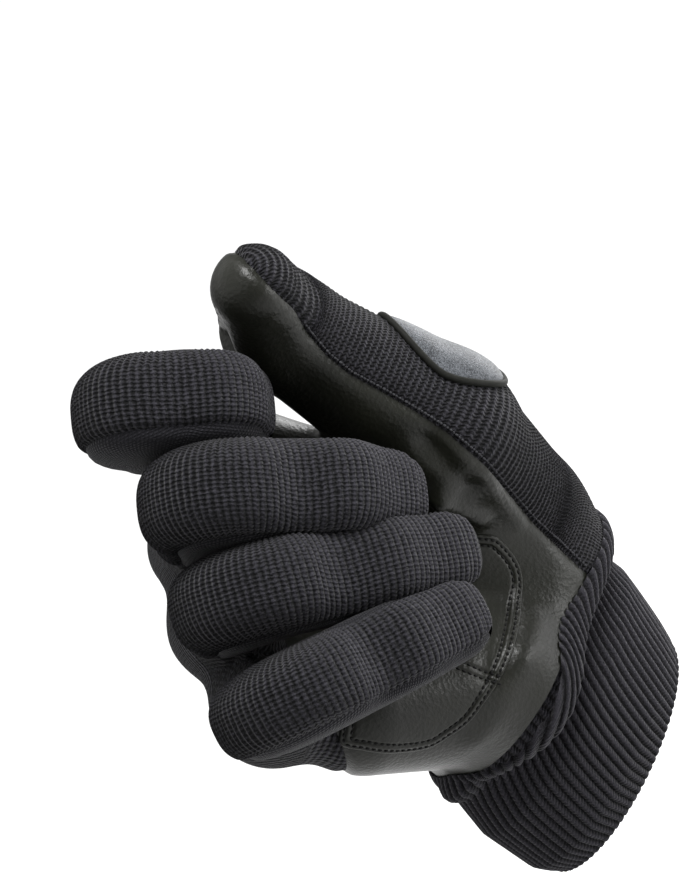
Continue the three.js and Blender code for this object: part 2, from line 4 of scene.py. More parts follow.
import bpy
import numpy as np
from mathutils import Matrix, Vector

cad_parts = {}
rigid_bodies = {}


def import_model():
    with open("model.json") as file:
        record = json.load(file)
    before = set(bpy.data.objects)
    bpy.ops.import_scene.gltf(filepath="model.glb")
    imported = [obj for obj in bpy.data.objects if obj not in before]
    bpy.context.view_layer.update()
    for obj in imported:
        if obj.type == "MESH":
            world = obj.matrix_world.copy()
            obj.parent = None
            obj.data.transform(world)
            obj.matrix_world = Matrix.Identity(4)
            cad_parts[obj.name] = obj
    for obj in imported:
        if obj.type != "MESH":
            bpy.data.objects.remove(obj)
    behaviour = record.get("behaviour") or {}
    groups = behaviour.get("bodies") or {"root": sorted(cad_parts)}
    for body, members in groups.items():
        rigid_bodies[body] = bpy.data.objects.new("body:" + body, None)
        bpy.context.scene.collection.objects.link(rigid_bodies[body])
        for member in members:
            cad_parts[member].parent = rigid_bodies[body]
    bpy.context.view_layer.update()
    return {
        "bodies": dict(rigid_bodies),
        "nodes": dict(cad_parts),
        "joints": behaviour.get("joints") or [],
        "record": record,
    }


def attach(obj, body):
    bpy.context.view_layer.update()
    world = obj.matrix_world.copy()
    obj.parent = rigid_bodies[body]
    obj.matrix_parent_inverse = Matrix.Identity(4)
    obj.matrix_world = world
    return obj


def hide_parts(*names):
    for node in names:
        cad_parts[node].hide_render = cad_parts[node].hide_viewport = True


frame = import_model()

# The stand: a pale floor well below the glove, a white studio and soft lamps. The glove is looked
# at from the palm and the little finger's side, with the camera rolled so that the cuff points
# down to the right. Lengths in this file are millimetres until a mesh or a lamp is made.
mm = 0.001
view_azimuth = math.radians(-27)
view_elevation = math.radians(17.5)
view_roll = math.radians(-53.9)
view_distance = 900.16
view_aside = 38.85
view_raised = 44.54
lens = 174.4
lamps = (
    # name, millimetres to the right, up and towards the camera, size, power
    ("key_lamp", (-100, 700, 450), 0.35, 12),
    ("side_lamp", (700, 250, 150), 0.35, 6),
    ("rim_lamp", (300, 500, -450), 0.5, 6),
)
overhead_power = 2.2
overhead_spread = math.radians(110)
studio_brightness = 0.38
floor_half = 6.0
floor_depth = -0.3

toward_camera = Vector((
    math.sin(view_azimuth) * math.cos(view_elevation),
    -math.cos(view_azimuth) * math.cos(view_elevation),
    math.sin(view_elevation),
))
level = Vector((math.cos(view_azimuth), math.sin(view_azimuth), 0))
picture_right = level * math.cos(view_roll) + toward_camera.cross(level) * math.sin(view_roll)
picture_up = toward_camera.cross(picture_right)


def in_front(right, up, toward):
    """A place in metres, from millimetres to the right, up and towards the camera in the picture."""
    return (picture_right * right + picture_up * up + toward_camera * toward) * mm


camera = bpy.data.objects.new("camera", bpy.data.cameras.new("camera"))
camera.data.lens = lens
camera.data.sensor_width = 36
camera.data.clip_end = 20
camera.matrix_world = Matrix.Translation(in_front(-view_aside, view_raised, view_distance)) @ Matrix((
    picture_right, picture_up, toward_camera,
)).transposed().to_4x4()
bpy.context.scene.collection.objects.link(camera)
bpy.context.scene.camera = camera

for name, place, size, power in lamps:
    lamp = bpy.data.objects.new(name, bpy.data.lights.new(name, "AREA"))
    lamp.data.size = size
    lamp.data.energy = power
    lamp.location = in_front(*place)
    lamp.rotation_euler = (-lamp.location).to_track_quat("-Z", "Y").to_euler()
    bpy.context.scene.collection.objects.link(lamp)

overhead = bpy.data.objects.new("overhead_light", bpy.data.lights.new("overhead_light", "SUN"))
overhead.data.energy = overhead_power
overhead.data.angle = overhead_spread
overhead.location = (0, 0, 3)
bpy.context.scene.collection.objects.link(overhead)

studio = bpy.data.worlds.new("studio")
studio.use_nodes = True
studio.node_tree.nodes["Background"].inputs["Color"].default_value = (1, 1, 1, 1)
studio.node_tree.nodes["Background"].inputs["Strength"].default_value = studio_brightness
bpy.context.scene.world = studio
bpy.context.scene.view_settings.view_transform = "Standard"

floor_mesh = bpy.data.meshes.new("floor")
floor_mesh.from_pydata(
    [(x * floor_half, y * floor_half, floor_depth) for x, y in ((-1, -1), (1, -1), (1, 1), (-1, 1))],
    [], [(0, 1, 2, 3)],
)
floor = bpy.data.objects.new("floor", floor_mesh)
floor_paint = bpy.data.materials.new("floor_paint")
floor_paint.use_nodes = True
floor_paint.node_tree.nodes["Principled BSDF"].inputs["Base Color"].default_value = (0.95, 0.95, 0.95, 1)
floor_paint.node_tree.nodes["Principled BSDF"].inputs["Roughness"].default_value = 0.9
floor_mesh.materials.append(floor_paint)
bpy.context.scene.collection.objects.link(floor)

# The form that the hand gives the glove: rounded bars from the wrist to the knuckles and out along
# the thumb, blended into one soft body. The leather and the knit of the hand are cut from this
# one skin, so that they meet at their seams as sewn cloths do.
wrist_width = 74
wrist_depth = 47
hand_length = 188
palm_breadth = 90
palm_depth = 30
thumb_width = 24
finger_width = 20
lean_out = math.radians(24.4)
bend_back = math.radians(3.6)
hand_turn = np.array(
    Matrix.Rotation(-bend_back, 3, "X") @ Matrix.Rotation(-lean_out, 3, "Y")
)
hand_shift = np.array([0.053 * palm_breadth, -0.09 * palm_depth, 0])


def hand_point(across, front, along):
    """A place in the hand, as shares of the palm's breadth and depth and of the hand's length."""
    place = np.array([across * palm_breadth, -front * palm_depth, along * hand_length])
    return hand_turn @ place + hand_shift


def unit(vectors):
    return vectors / np.linalg.norm(vectors, axis=-1, keepdims=True)


def run_lengths(points):
    """How far along a line of points each of them lies."""
    return np.concatenate([[0], np.cumsum(np.linalg.norm(np.diff(points, axis=0), axis=1))])


def read_off(places, lengths, points):
    """Points at given lengths along a line."""
    return np.stack([np.interp(places, lengths, column) for column in points.T], -1)


fingers = {
    # knuckle, share of the first bone at the web, bones, bends, lean, girth
    "index": ((0.272, 0, 0.43), 0.55, (0.25, 0.102, 0.097), (46, 111, 68), 9, 1.0),
    "middle": ((0.05, -0.06, 0.424), 0.5, (0.271, 0.143, 0.118), (68, 105, 29), 9.5, 1.0),
    "ring": ((-0.138, 0, 0.399), 0.5, (0.25, 0.158, 0.124), (72, 104, 18), 20, 0.95),
    "little": ((-0.35, 0.4, 0.368), 0.5, (0.202, 0.134, 0.115), (73, 102, 18), 32, 0.9),
}
palm_bars = (
    # from, to, radii as shares of the palm's depth
    ((0.07, 0.1, 0.05), (0.27, 0.12, 0.4), 0.62, 0.36),
    ((0.03, 0.1, 0.05), (0.05, 0.08, 0.4), 0.66, 0.36),
    ((-0.09, 0.1, 0.05), (-0.145, 0.22, 0.385), 0.66, 0.34),
    ((-0.16, 0.15, 0.04), (-0.34, 0.5, 0.34), 0.58, 0.33),
    ((-0.2, 0.45, 0.08), (-0.32, 0.52, 0.25), 0.5, 0.42),
    ((-0.14, 0.15, 0.385), (-0.345, 0.42, 0.355), 0.27, 0.3),
)
thumb_joints = (
    # place, radius as a share of the thumb's width
    ((0.227, 0.316, 0.074), 0.675), ((0.313, 1.002, 0.21), 0.64),
    ((0.472, 1.105, 0.418), 0.475), ((0.507, 1.475, 0.476), 0.37),
)


class Finger:
    """A finger's bones: its own frame has x to the thumb's side, y to its back and z forward."""

    def __init__(self, name):
        self.name = name
        knuckle, self.web, bones, bends, lean, girth = fingers[name]
        lean = math.radians(lean)
        self.turn = hand_turn @ np.array([
            [math.cos(lean), 0, -math.sin(lean)], [0, 1, 0], [math.sin(lean), 0, math.cos(lean)],
        ])
        self.knuckle = hand_point(*knuckle)
        self.bones = [bone * hand_length for bone in bones]
        self.bends = [math.radians(bend) for bend in bends]
        self.width = finger_width * girth
        self.girth = girth
        first = self.bends[0]
        self.first_bone = self.turn @ np.array([0, -math.sin(first), math.cos(first)])
        self.first_back = self.turn @ np.array([0, math.cos(first), math.sin(first)])
        self.side = self.turn[:, 0]

    def placed(self, points):
        return points @ self.turn.T + self.knuckle


hands = {name: Finger(name) for name in fingers}
wrist_radius = wrist_depth / 2
palm_skin_bars = [
    (np.array([side * (wrist_width / 2 - wrist_radius), 0, -wrist_radius]),
     np.array([side * (wrist_width / 2 - wrist_radius) * 0.85, 0, wrist_radius * 0.25]),
     wrist_radius, wrist_radius * 0.95) for side in (0.69, -1)
]
palm_skin_bars += [
    (hand_point(*start), hand_point(*end), a * palm_depth, b * palm_depth) for start, end, a, b in palm_bars
]
palm_skin_bars += [
    (finger.knuckle, finger.knuckle + finger.first_bone * finger.bones[0] * 0.72,
     palm_depth * 0.31 * finger.girth, finger.width * 0.47) for finger in hands.values()
]
thumb_skin_bars = [
    (hand_point(*start), hand_point(*end), a * thumb_width, b * thumb_width)
    for (start, a), (end, b) in zip(thumb_joints, thumb_joints[1:])
]
palm_blend = palm_depth / 4
thumb_blend = thumb_width / 2


def bars_distance(points, bars, blend):
    """Distance to rounded bars that are blended into each other."""
    total = None
    for start, end, a, b in bars:
        axis = end - start
        share = np.clip((points - start) @ axis / (axis @ axis), 0, 1)
        away = points - start - share[:, None] * axis
        one = np.sqrt(np.einsum("ij,ij->i", away, away)) - (a + (b - a) * share)
        total = one if total is None else soft_union(total, one, blend)
    return total


def soft_union(a, b, blend):
    share = np.maximum(blend - np.abs(a - b), 0) / blend
    return np.minimum(a, b) - share * share * blend / 4


def skin_distance(points):
    """Distance to the outside of the hand and the thumb, below 0 inside."""
    palm = bars_distance(points, palm_skin_bars, palm_blend)
    thumb = bars_distance(points, thumb_skin_bars, palm_blend / 2)
    return soft_union(palm, thumb, thumb_blend)


def skin_slope(points, step=0.1):
    slope = np.empty_like(points)
    for axis in range(3):
        ahead = points.copy()
        behind = points.copy()
        ahead[:, axis] += step
        behind[:, axis] -= step
        slope[:, axis] = (skin_distance(ahead) - skin_distance(behind)) / (2 * step)
    return slope


def on_skin(points, height=0.0, rounds=3):
    """Points moved onto the skin, or to a height over it, and the skin's outward direction there."""
    for _ in range(rounds):
        slope = skin_slope(points)
        steep = np.maximum(np.einsum("ij,ij->i", slope, slope), 0.05)
        points = points - slope * ((skin_distance(points) - height) / steep)[:, None]
    return points, unit(skin_slope(points))


def cast_skin(low, high, cell):
    """The skin as even quads: a point in each cell that the skin passes, joined round each edge."""
    axes = [np.arange(low[k], high[k] + cell, cell) for k in range(3)]
    shape = tuple(len(axis) for axis in axes)
    lattice = np.stack(np.meshgrid(*axes, indexing="ij"), -1).reshape(-1, 3)
    value = skin_distance(lattice).reshape(shape)
    inside = value < 0
    counts = np.zeros(tuple(n - 1 for n in shape), int)
    sums = np.zeros(counts.shape + (3,))
    cells = np.moveaxis(np.indices(counts.shape), 0, -1)

    def shifted(array, corner):
        return array[tuple(slice(c, c + n) for c, n in zip(corner, counts.shape))]

    for a in np.ndindex(2, 2, 2):
        for axis in range(3):
            if a[axis]:
                continue
            b = tuple(v + (n == axis) for n, v in enumerate(a))
            crossed = shifted(inside, a) != shifted(inside, b)
            at, bt = shifted(value, a)[crossed], shifted(value, b)[crossed]
            spot = cells[crossed] + np.array(a, float)
            spot[:, axis] += at / (at - bt)
            sums[crossed] += spot
            counts[crossed] += 1
    active = counts > 0
    number = np.full(counts.shape, -1)
    number[active] = np.arange(active.sum())
    points = sums[active] / counts[active][:, None] * cell + np.array(low)
    quads = []
    for axis in range(3):
        u, v = (axis + 1) % 3, (axis + 2) % 3
        stop = [slice(1, n - 1) for n in shape]
        ahead = list(stop)
        stop[axis] = slice(0, shape[axis] - 1)
        ahead[axis] = slice(1, shape[axis])
        first, second = inside[tuple(stop)], inside[tuple(ahead)]
        for flip in (False, True):
            where = np.argwhere((first != second) & (first == (not flip)))
            where = where + np.array([0 if n == axis else 1 for n in range(3)])
            loop = [where.copy() for _ in range(4)]
            loop[1][:, u] -= 1
            loop[2][:, u] -= 1
            loop[2][:, v] -= 1
            loop[3][:, v] -= 1
            quad = np.stack([number[tuple(c.T)] for c in loop], -1)
            quads.append(quad[:, ::-1] if flip else quad)
    quads = np.concatenate(quads)
    return points, quads[(quads >= 0).all(1)]


skin_cell = 1.2
skin_low = (-78, -62, -4)
skin_high = (48, 36, 118)
skin_points, skin_quads = cast_skin(skin_low, skin_high, skin_cell)
skin_points, _ = on_skin(skin_points)
# The grid's steps are evened out: each point moves towards its neighbours and back onto the skin
for _ in range(4):
    near = np.zeros_like(skin_points)
    count = np.zeros(len(skin_points))
    for k in range(4):
        np.add.at(near, skin_quads[:, k], skin_points[skin_quads[:, (k + 1) % 4]])
        np.add.at(count, skin_quads[:, k], 1)
    skin_points = skin_points * 0.4 + near / np.maximum(count, 1)[:, None] * 0.6
    skin_points, _ = on_skin(skin_points, rounds=1)
skin_faces = np.concatenate([skin_quads[:, [0, 1, 2]], skin_quads[:, [0, 2, 3]]])

# Where one cloth of the hand meets the next: the seam along the thumb, the seam between the palm
# and the back, the knit that reaches over the knuckles to the fingers, and the cuff's seam, which
# rises over the palm on the little finger's side
thumb_seam_out = unit(np.array([0.878, -0.473, -0.074]))
thumb_seam_at = 21.5
back_seam_out = unit(hand_turn @ np.array([-0.081, 0.934, 0.348]))
back_seam_at = 0.54 * palm_depth
cuff_seam_rise = 6.5
cuff_seam_peak = math.radians(-62)
cuff_seam_under = 2.4
finger_covers = 5
sink_ahead = 1.5
sink_reach = 4
sink_steepness = 0.7


def in_block(points, finger, low, high, start, stop, grow=0.0):
    """Above 0 in a box on a finger's first bone, from a height to another and from start to stop."""
    away = points - finger.knuckle
    along, over, aside = away @ finger.first_bone, away @ finger.first_back, away @ finger.side
    to_thumb = finger.width * (0.9 if finger.name == "index" else 0.53) + grow
    to_little = finger.width * (0.9 if finger.name == "little" else 0.53) + grow
    return np.minimum.reduce([
        over - low, high - over, along - start, stop - along, to_thumb - aside, aside + to_little,
    ])


def back_side(points):
    """Above 0 where the hand is covered by the knit of its back."""
    values = [points @ back_seam_out - back_seam_at]
    for finger in hands.values():
        reach = finger.width * 0.6
        values.append(in_block(
            points, finger, -reach, 2 * reach, -reach, hand_length / 3, finger.width * 0.25,
        ))
    return np.maximum.reduce(values)


def cuff_seam_height(turn):
    """How far the seam of the cuff rises over the palm, at a turn round the wrist."""
    return cuff_seam_rise * (0.5 + 0.5 * np.cos(turn - cuff_seam_peak)) ** 0.8


def webs(points):
    """Below 0 where the fingers take over from the hand, and below the cuff's seam."""
    turn = np.arctan2(points[:, 1] / wrist_depth, points[:, 0] / wrist_width)
    values = [points[:, 2] - cuff_seam_height(turn) + cuff_seam_under]
    for finger in hands.values():
        values.append(-in_block(
            points, finger, -finger.width * 0.7, finger.width * 0.7,
            finger.bones[0] * finger.web + finger_covers, hand_length,
        ))
    return np.minimum.reduce(values)


def sunk_at_webs(points, out):
    """The skin drawn in under the start of each finger, so that the finger's cloth covers it."""
    sink = np.zeros(len(points))
    for finger in hands.values():
        past = in_block(
            points, finger, -finger.width, finger.width,
            finger.bones[0] * finger.web - sink_ahead, hand_length, finger.width * 0.05,
        )
        sink = np.maximum(sink, np.clip(past, 0, sink_reach) * sink_steepness)
    return points - out * sink[:, None]


def trimmed(points, faces, keep):
    """The part of a skin of triangles where keep is above 0, cut through the triangles it crosses."""
    inside = keep[faces] > 0
    total = inside.sum(1)
    kept = [faces[total == 3]]
    extra = {}
    new_points = []

    def cut(a, b):
        key = (min(a, b), max(a, b))
        if key not in extra:
            extra[key] = len(points) + len(new_points)
            share = keep[key[0]] / (keep[key[0]] - keep[key[1]])
            new_points.append(points[key[0]] + (points[key[1]] - points[key[0]]) * share)
        return extra[key]

    more = []
    for face, flags in zip(faces[(total > 0) & (total < 3)], inside[(total > 0) & (total < 3)]):
        lone = flags if flags.sum() == 1 else ~flags
        start = int(np.argmax(lone))
        a, b, c = (int(face[(start + k) % 3]) for k in range(3))
        ab, ac = cut(a, b), cut(a, c)
        if flags.sum() == 1:
            more.append((a, ab, ac))
        else:
            more += [(ab, b, c), (ab, c, ac)]
    faces = np.concatenate(kept + [np.array(more, int).reshape(-1, 3)])
    points = np.concatenate([points, np.array(new_points).reshape(-1, 3)])
    used = np.unique(faces)
    renumber = np.full(len(points), -1)
    renumber[used] = np.arange(len(used))
    return points[used], renumber[faces]


# The palm's leather: one thin soft hide over the palm, the heel and the front of the thumb, with
# the folds and hollows that the grip gives it. It is sewn to the knit all round, and its edges
# dip where the stitches pull them down.
seam_dip = 0.7
seam_reach = 1.0
leather_folds = (
    # from, to, how far the leather stands out or sinks in, how wide the fold is
    ((2.6, -30.4, 33.6), (-0.9, -34.0, 45.0), 1.7, 1.8),
    ((-0.9, -34.0, 45.0), (-8.0, -33.0, 50.0), 1.2, 2.4),
    ((3.6, -42.0, 55.7), (3.3, -38.0, 42.0), -1.7, 3.0),
    ((6.8, -40.5, 42.0), (7.4, -31.0, 26.0), 0.8, 2.2),
    ((-6.9, -28.3, 12.5), (-17.4, -30.7, 12.0), 0.8, 3.6),
    ((-17.4, -30.7, 12.0), (-34.8, -25.1, 11.0), 0.9, 3.6),
    ((-8.3, -27.4, 19.0), (-24.7, -30.4, 18.0), -0.5, 2.4),
    ((9.3, -45.9, 97.0), (4.5, -44.0, 95.5), 0.35, 0.8),
    ((9.0, -45.0, 94.5), (4.0, -43.0, 92.5), 0.35, 0.8),
    ((8.6, -44.0, 92.0), (4.0, -42.0, 90.0), 0.3, 0.8),
)
thumb_seam_waves = (
    # height over the cuff's seam, how far the seam bows out of its plane
    (0, -0.6), (7, -1.0), (22, -0.5), (31, 0.4), (43, 1.6), (54, 1.7), (61, 0.8), (69, -0.6),
    (77, -2.3), (83, -2.4), (89, -1.4), (95, 0.3), (103, 0.6), (110, 1.5),
)


def sew(name, points, faces, cloth, nodes, core=None, weave=None):
    """A piece of the glove from points in millimetres, turned so that its faces look away from core."""
    points = np.asarray(points, float).reshape(-1, 3)
    faces = np.asarray(faces)
    if core is not None:
        core = np.broadcast_to(np.asarray(core, float).reshape(-1, 3), points.shape)
        a, b, c = (points[faces[:, k]] for k in range(3))
        if np.sum(np.cross(b - a, c - a) * (a - core[faces[:, 0]])) < 0:
            faces = faces[:, ::-1]
    mesh = bpy.data.meshes.new(name)
    mesh.from_pydata((points * mm).tolist(), [], faces.tolist())
    if weave is not None:
        layer = mesh.uv_layers.new(name="weave")
        layer.data.foreach_set("uv", np.asarray(weave, float).reshape(-1, 2)[faces.ravel()].ravel())
    mesh.polygons.foreach_set("use_smooth", np.ones(len(mesh.polygons), bool))
    mesh.materials.append(cloth.material)
    made = bpy.data.objects.new(name, mesh)
    bpy.context.scene.collection.objects.link(made)
    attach(made, "root")
    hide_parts(*nodes)
    return made


def cloth_grid(rows, columns, around=False):
    """Faces of a sheet of rows by columns; around joins the last column to the first."""
    r, c = np.meshgrid(np.arange(rows - 1), np.arange(columns if around else columns - 1), indexing="ij")
    here, beside = r * columns + c, r * columns + (c + 1) % columns
    return np.stack([here, beside, beside + columns, here + columns], -1).reshape(-1, 4)


class Finish:
    """A material made of nodes, with the name of its slot kept beside it, and short calls for its pattern.
    """

    def __init__(self, name, slot, roughness, sheen=0.0):
        self.slot = slot
        self.material = bpy.data.materials.new(name)
        self.material.use_nodes = True
        self.nodes = self.material.node_tree.nodes
        self.links = self.material.node_tree.links
        self.shader = self.nodes["Principled BSDF"]
        self.shader.inputs["Roughness"].default_value = roughness
        self.shader.inputs["Sheen Weight"].default_value = sheen
        self.shader.inputs["Sheen Roughness"].default_value = 0.45
        self.shader.inputs["Specular IOR Level"].default_value = 0.12
        weave = self.nodes.new("ShaderNodeUVMap")
        weave.uv_map = "weave"
        split = self.nodes.new("ShaderNodeSeparateXYZ")
        self.links.new(weave.outputs["UV"], split.inputs["Vector"])
        self.along, self.across = split.outputs["X"], split.outputs["Y"]
        self.place = self.nodes.new("ShaderNodeTexCoord").outputs["Object"]

    def sum(self, operation, *values):
        """One sum of numbers or sockets."""
        node = self.nodes.new("ShaderNodeMath")
        node.operation = operation
        for socket, value in zip(node.inputs, values):
            if isinstance(value, (int, float)):
                socket.default_value = value
            else:
                self.links.new(value, socket)
        return node.outputs["Value"]

    def total(self, start, *terms):
        """A number plus sockets that are each taken a number of times."""
        for socket, times in terms:
            start = self.sum("MULTIPLY_ADD", socket, times, start)
        return start

    def wave(self, length, pitch, start=0.0):
        """0 to 1 and back over each pitch of a length."""
        turns = self.sum("MULTIPLY_ADD", length, 2 * math.pi / pitch, start)
        return self.sum("MULTIPLY_ADD", self.sum("COSINE", turns), 0.5, 0.5)

    def grain(self, size, detail=2.0, kind="ShaderNodeTexNoise"):
        """Noise or cells of a size in millimetres."""
        node = self.nodes.new(kind)
        node.inputs["Scale"].default_value = 1000 / size
        if kind == "ShaderNodeTexNoise":
            node.inputs["Detail"].default_value = detail
        self.links.new(self.place, node.inputs["Vector"])
        return node.outputs[0]

    def colour(self, share, dark, light):
        """Base colour from dark to light by a share of 0 to 1."""
        ramp = self.nodes.new("ShaderNodeValToRGB")
        ramp.color_ramp.elements[0].color = (*dark, 1)
        ramp.color_ramp.elements[1].color = (*light, 1)
        self.links.new(share, ramp.inputs["Fac"])
        self.links.new(ramp.outputs["Color"], self.shader.inputs["Base Color"])

    def relief(self, height, depth, strength=1.0):
        """Bump of a depth in millimetres."""
        bump = self.nodes.new("ShaderNodeBump")
        bump.inputs["Distance"].default_value = depth * mm
        bump.inputs["Strength"].default_value = strength
        self.links.new(height, bump.inputs["Height"])
        self.links.new(bump.outputs["Normal"], self.shader.inputs["Normal"])


leather = Finish("leather", "leather", 0.34)
leather.shader.inputs["Specular IOR Level"].default_value = 0.2
leather_cells = leather.grain(0.9, kind="ShaderNodeTexVoronoi")
leather_pores = leather.grain(0.35, 3)
leather_creases = leather.grain(7, 3)
leather_tint = leather.grain(16, 2)
leather.colour(
    leather.total(-0.25, (leather_tint, 0.9), (leather_pores, 0.25)),
    (0.0028, 0.003, 0.0021), (0.0135, 0.014, 0.0098),
)
leather.relief(
    leather.total(0.0, (leather_cells, 0.5), (leather_pores, 0.4), (leather_creases, 0.5)), 0.22, 0.6,
)


def seam_pressed(points, *seams):
    """Points pulled down beside seams, whose distances are given."""
    _, out = on_skin(points, skin_distance(points), 0)
    dip = sum(seam_dip * np.exp(-(seam / seam_reach) ** 2) for seam in seams)
    return points - out * np.minimum(dip, seam_dip)[:, None]


def folded(points, out):
    """Points moved by the folds and hollows of the leather."""
    move = np.zeros(len(points))
    for start, end, height, width in leather_folds:
        start, end = np.array(start), np.array(end)
        share = np.clip((points - start) @ (end - start) / ((end - start) @ (end - start)), 0, 1)
        away = np.linalg.norm(points - start - share[:, None] * (end - start), axis=1)
        move += height * np.exp(-(away / width) ** 2)
    return points + out * move[:, None]


def thumb_seam(points):
    """Above 0 on the thumb's outer side of its seam, which waves about a plane."""
    heights, bows = zip(*thumb_seam_waves)
    return points @ thumb_seam_out - thumb_seam_at - np.interp(points[:, 2], heights, bows)


palm_keep = np.minimum.reduce([-thumb_seam(skin_points), -back_side(skin_points), webs(skin_points)])
palm_points, palm_faces = trimmed(skin_points, skin_faces, palm_keep)
palm_points = seam_pressed(palm_points, thumb_seam(palm_points), back_side(palm_points))
_, palm_out = on_skin(palm_points, 0, 0)
palm_points = sunk_at_webs(folded(palm_points, palm_out), palm_out)
sew("palm_leather_hide", palm_points, palm_faces, leather, ["palm_leather"])

# The palm patch: a second, thinner hide over the middle of the palm. It is sewn down with a double
# row of dark thread round its edge and parted by another double row across it, and the leather
# sinks in a little along each row.
patch_rise = 0.95
patch_edge = 1.0
row_dip = 0.3
row_width = 0.35
thread_rise = patch_rise - 0.35
stitch_length = 0.95
stitch_spacing = 1.35
stitch_radius = 0.27
row_insets = (0.8, 2.15)
patch_outline = (
    (0.214, 0.001), (0.08, 0.117), (-0.07, 0.221), (-0.18, 0.23), (-0.275, 0.21), (-0.28, 0.152),
    (-0.268, 0.076), (-0.242, 0.002), (-0.206, -0.037), (-0.165, -0.072), (-0.11, -0.099),
    (-0.056, -0.127), (0.015, -0.161), (0.095, -0.199), (0.154, -0.213), (0.202, -0.197),
    (0.239, -0.151), (0.252, -0.098),
)
divider_half = 0.75
patch_divider = ((-0.13, 0.12), (-0.075, 0.06), (-0.045, 0.0), (-0.05, -0.05), (-0.056, -0.127))


def layer_frame(centre, facing, rightward):
    """A flat frame over the hand: its right, up and outward directions and its middle."""
    out = unit(hand_turn @ np.array(facing, float))
    right = hand_turn @ np.array(rightward, float)
    right = unit(right - out * (right @ out))
    return right, np.cross(out, right), out, hand_point(*centre)


def smooth_curve(knots, closed, detail):
    """Close points on a smooth curve through the knots, and how far along it each of them lies."""
    if closed:
        padded = np.concatenate([knots[-1:], knots, knots[:2]])
    else:
        padded = np.concatenate([2 * knots[:1] - knots[1:2], knots, 2 * knots[-1:] - knots[-2:-1]])
    a, b, c, d = (padded[n:len(padded) - 3 + n, None] for n in range(4))
    share = np.linspace(0, 1, detail, endpoint=False)[None, :, None]
    close = 0.5 * (2 * b + (c - a) * share + (2 * a - 5 * b + 4 * c - d) * share ** 2
                   + (3 * b - a - 3 * c + d) * share ** 3)
    close = np.concatenate([close.reshape(-1, knots.shape[1]), padded[-2:-1]])
    return close, run_lengths(close)


def laid_on(flat, frame):
    """Points of a flat layer dropped onto the leather below, and the outward direction there."""
    right, up, out, middle = frame
    points = middle + flat[:, :1] * right + flat[:, 1:] * up + out * 10
    for _ in range(30):
        points = points - out * skin_distance(points)[:, None]
    outward = unit(skin_slope(points))
    return folded(points, outward), outward


def inset_line(outline, inset):
    """A closed line set in from an outline."""
    along = unit(np.roll(outline, -1, 0) - np.roll(outline, 1, 0))
    inward = np.stack([-along[:, 1], along[:, 0]], -1)
    if np.sum(inward * (outline.mean(0) - outline)) < 0:
        inward = -inward
    return outline + inward * inset


def stitches(name, path, out, spacing, length, radius, cloth, nodes):
    """A row of stitches along a path: each is a short fat bead of thread that lies on the cloth."""
    travelled = run_lengths(path)
    places = np.arange(spacing / 2, travelled[-1], spacing)
    centre = read_off(places, travelled, path)
    over = read_off(places, travelled, out)
    forward = unit(read_off(places + 0.3, travelled, path) - read_off(places - 0.3, travelled, path))
    beside = np.cross(over, forward)
    turn = np.linspace(0, 2 * np.pi, 8, endpoint=False)
    rise = np.linspace(-np.pi / 2, np.pi / 2, 7)
    ball = np.stack([
        np.sin(rise)[:, None] * np.ones(8), np.cos(rise)[:, None] * np.cos(turn),
        np.cos(rise)[:, None] * np.sin(turn),
    ], -1).reshape(-1, 3)
    bead = (centre[:, None] + forward[:, None] * ball[None, :, :1] * length / 2
            + beside[:, None] * ball[None, :, 1:2] * radius + over[:, None] * ball[None, :, 2:] * radius)
    faces = cloth_grid(7, 8, True)
    faces = (faces[None] + np.arange(len(places))[:, None, None] * len(ball)).reshape(-1, 4)
    core = np.repeat(centre, len(ball), 0)
    sew(name, bead, faces, cloth, nodes, core=core)


thread = Finish("dark_thread", None, 0.7)
thread.colour(thread.grain(0.2), (0.0015, 0.0015, 0.0015), (0.008, 0.008, 0.008))

patch_frame = layer_frame((-0.156, 0.87, 0.191), (-0.38, -0.9, -0.2), (1, 0, 0))
patch_columns = 420
patch_curve, patch_length = smooth_curve(np.array(patch_outline) * palm_breadth, True, 40)
patch_line, dense_line = (
    read_off(np.linspace(0, patch_length[-1], count, endpoint=False), patch_length, patch_curve)
    for count in (patch_columns, 1200)
)
patch_middle = patch_line.mean(0)
patch_shares = np.concatenate([np.linspace(0.004, 0.84, 60), np.linspace(0.85, 1.0, 34)])
patch_flat = (patch_middle + (patch_line - patch_middle) * patch_shares[:, None, None]).reshape(-1, 2)
divider = np.array(patch_divider) * palm_breadth
divider_length = run_lengths(divider)
divider = read_off(np.linspace(0, divider_length[-1], 120), divider_length, divider)
divider[2:-2] = (divider[:-4] + divider[1:-3] + divider[2:-2] + divider[3:-1] + divider[4:]) / 5


def nearest(points, line):
    """The distance from each flat point to a line of close points."""
    found = np.full(len(points), np.inf)
    for start in range(0, len(points), 4000):
        part = points[start:start + 4000]
        found[start:start + 4000] = np.linalg.norm(part[:, None] - line[None], axis=2).min(1)
    return found


edge_away = nearest(patch_flat, dense_line)
edge_away[-patch_columns:] = 0
rounded = np.sqrt(np.clip(1 - (1 - np.clip(edge_away / patch_edge, 0, 1)) ** 2, 0, 1))
patch_height = patch_rise * rounded - 0.1
divider_away = nearest(patch_flat, divider)
row_distances = [edge_away - inset for inset in row_insets] + [divider_away - divider_half]
for away in row_distances:
    patch_height -= row_dip * np.exp(-(away / row_width) ** 2)
patch_points, patch_out = laid_on(patch_flat, patch_frame)
patch_points = patch_points + patch_out * patch_height[:, None]
sew(
    "palm_patch_hide", patch_points, cloth_grid(len(patch_shares), patch_columns, True), leather,
    ["palm_patch"], core=patch_points - patch_out,
)
thread_rows = []
for number, inset in enumerate(row_insets):
    row = inset_line(dense_line, inset)
    thread_rows.append((f"palm_patch_stitches_{number + 1}", np.concatenate([row, row[:1]])))
divider_along = unit(np.gradient(divider, axis=0))
divider_aside = np.stack([-divider_along[:, 1], divider_along[:, 0]], -1)
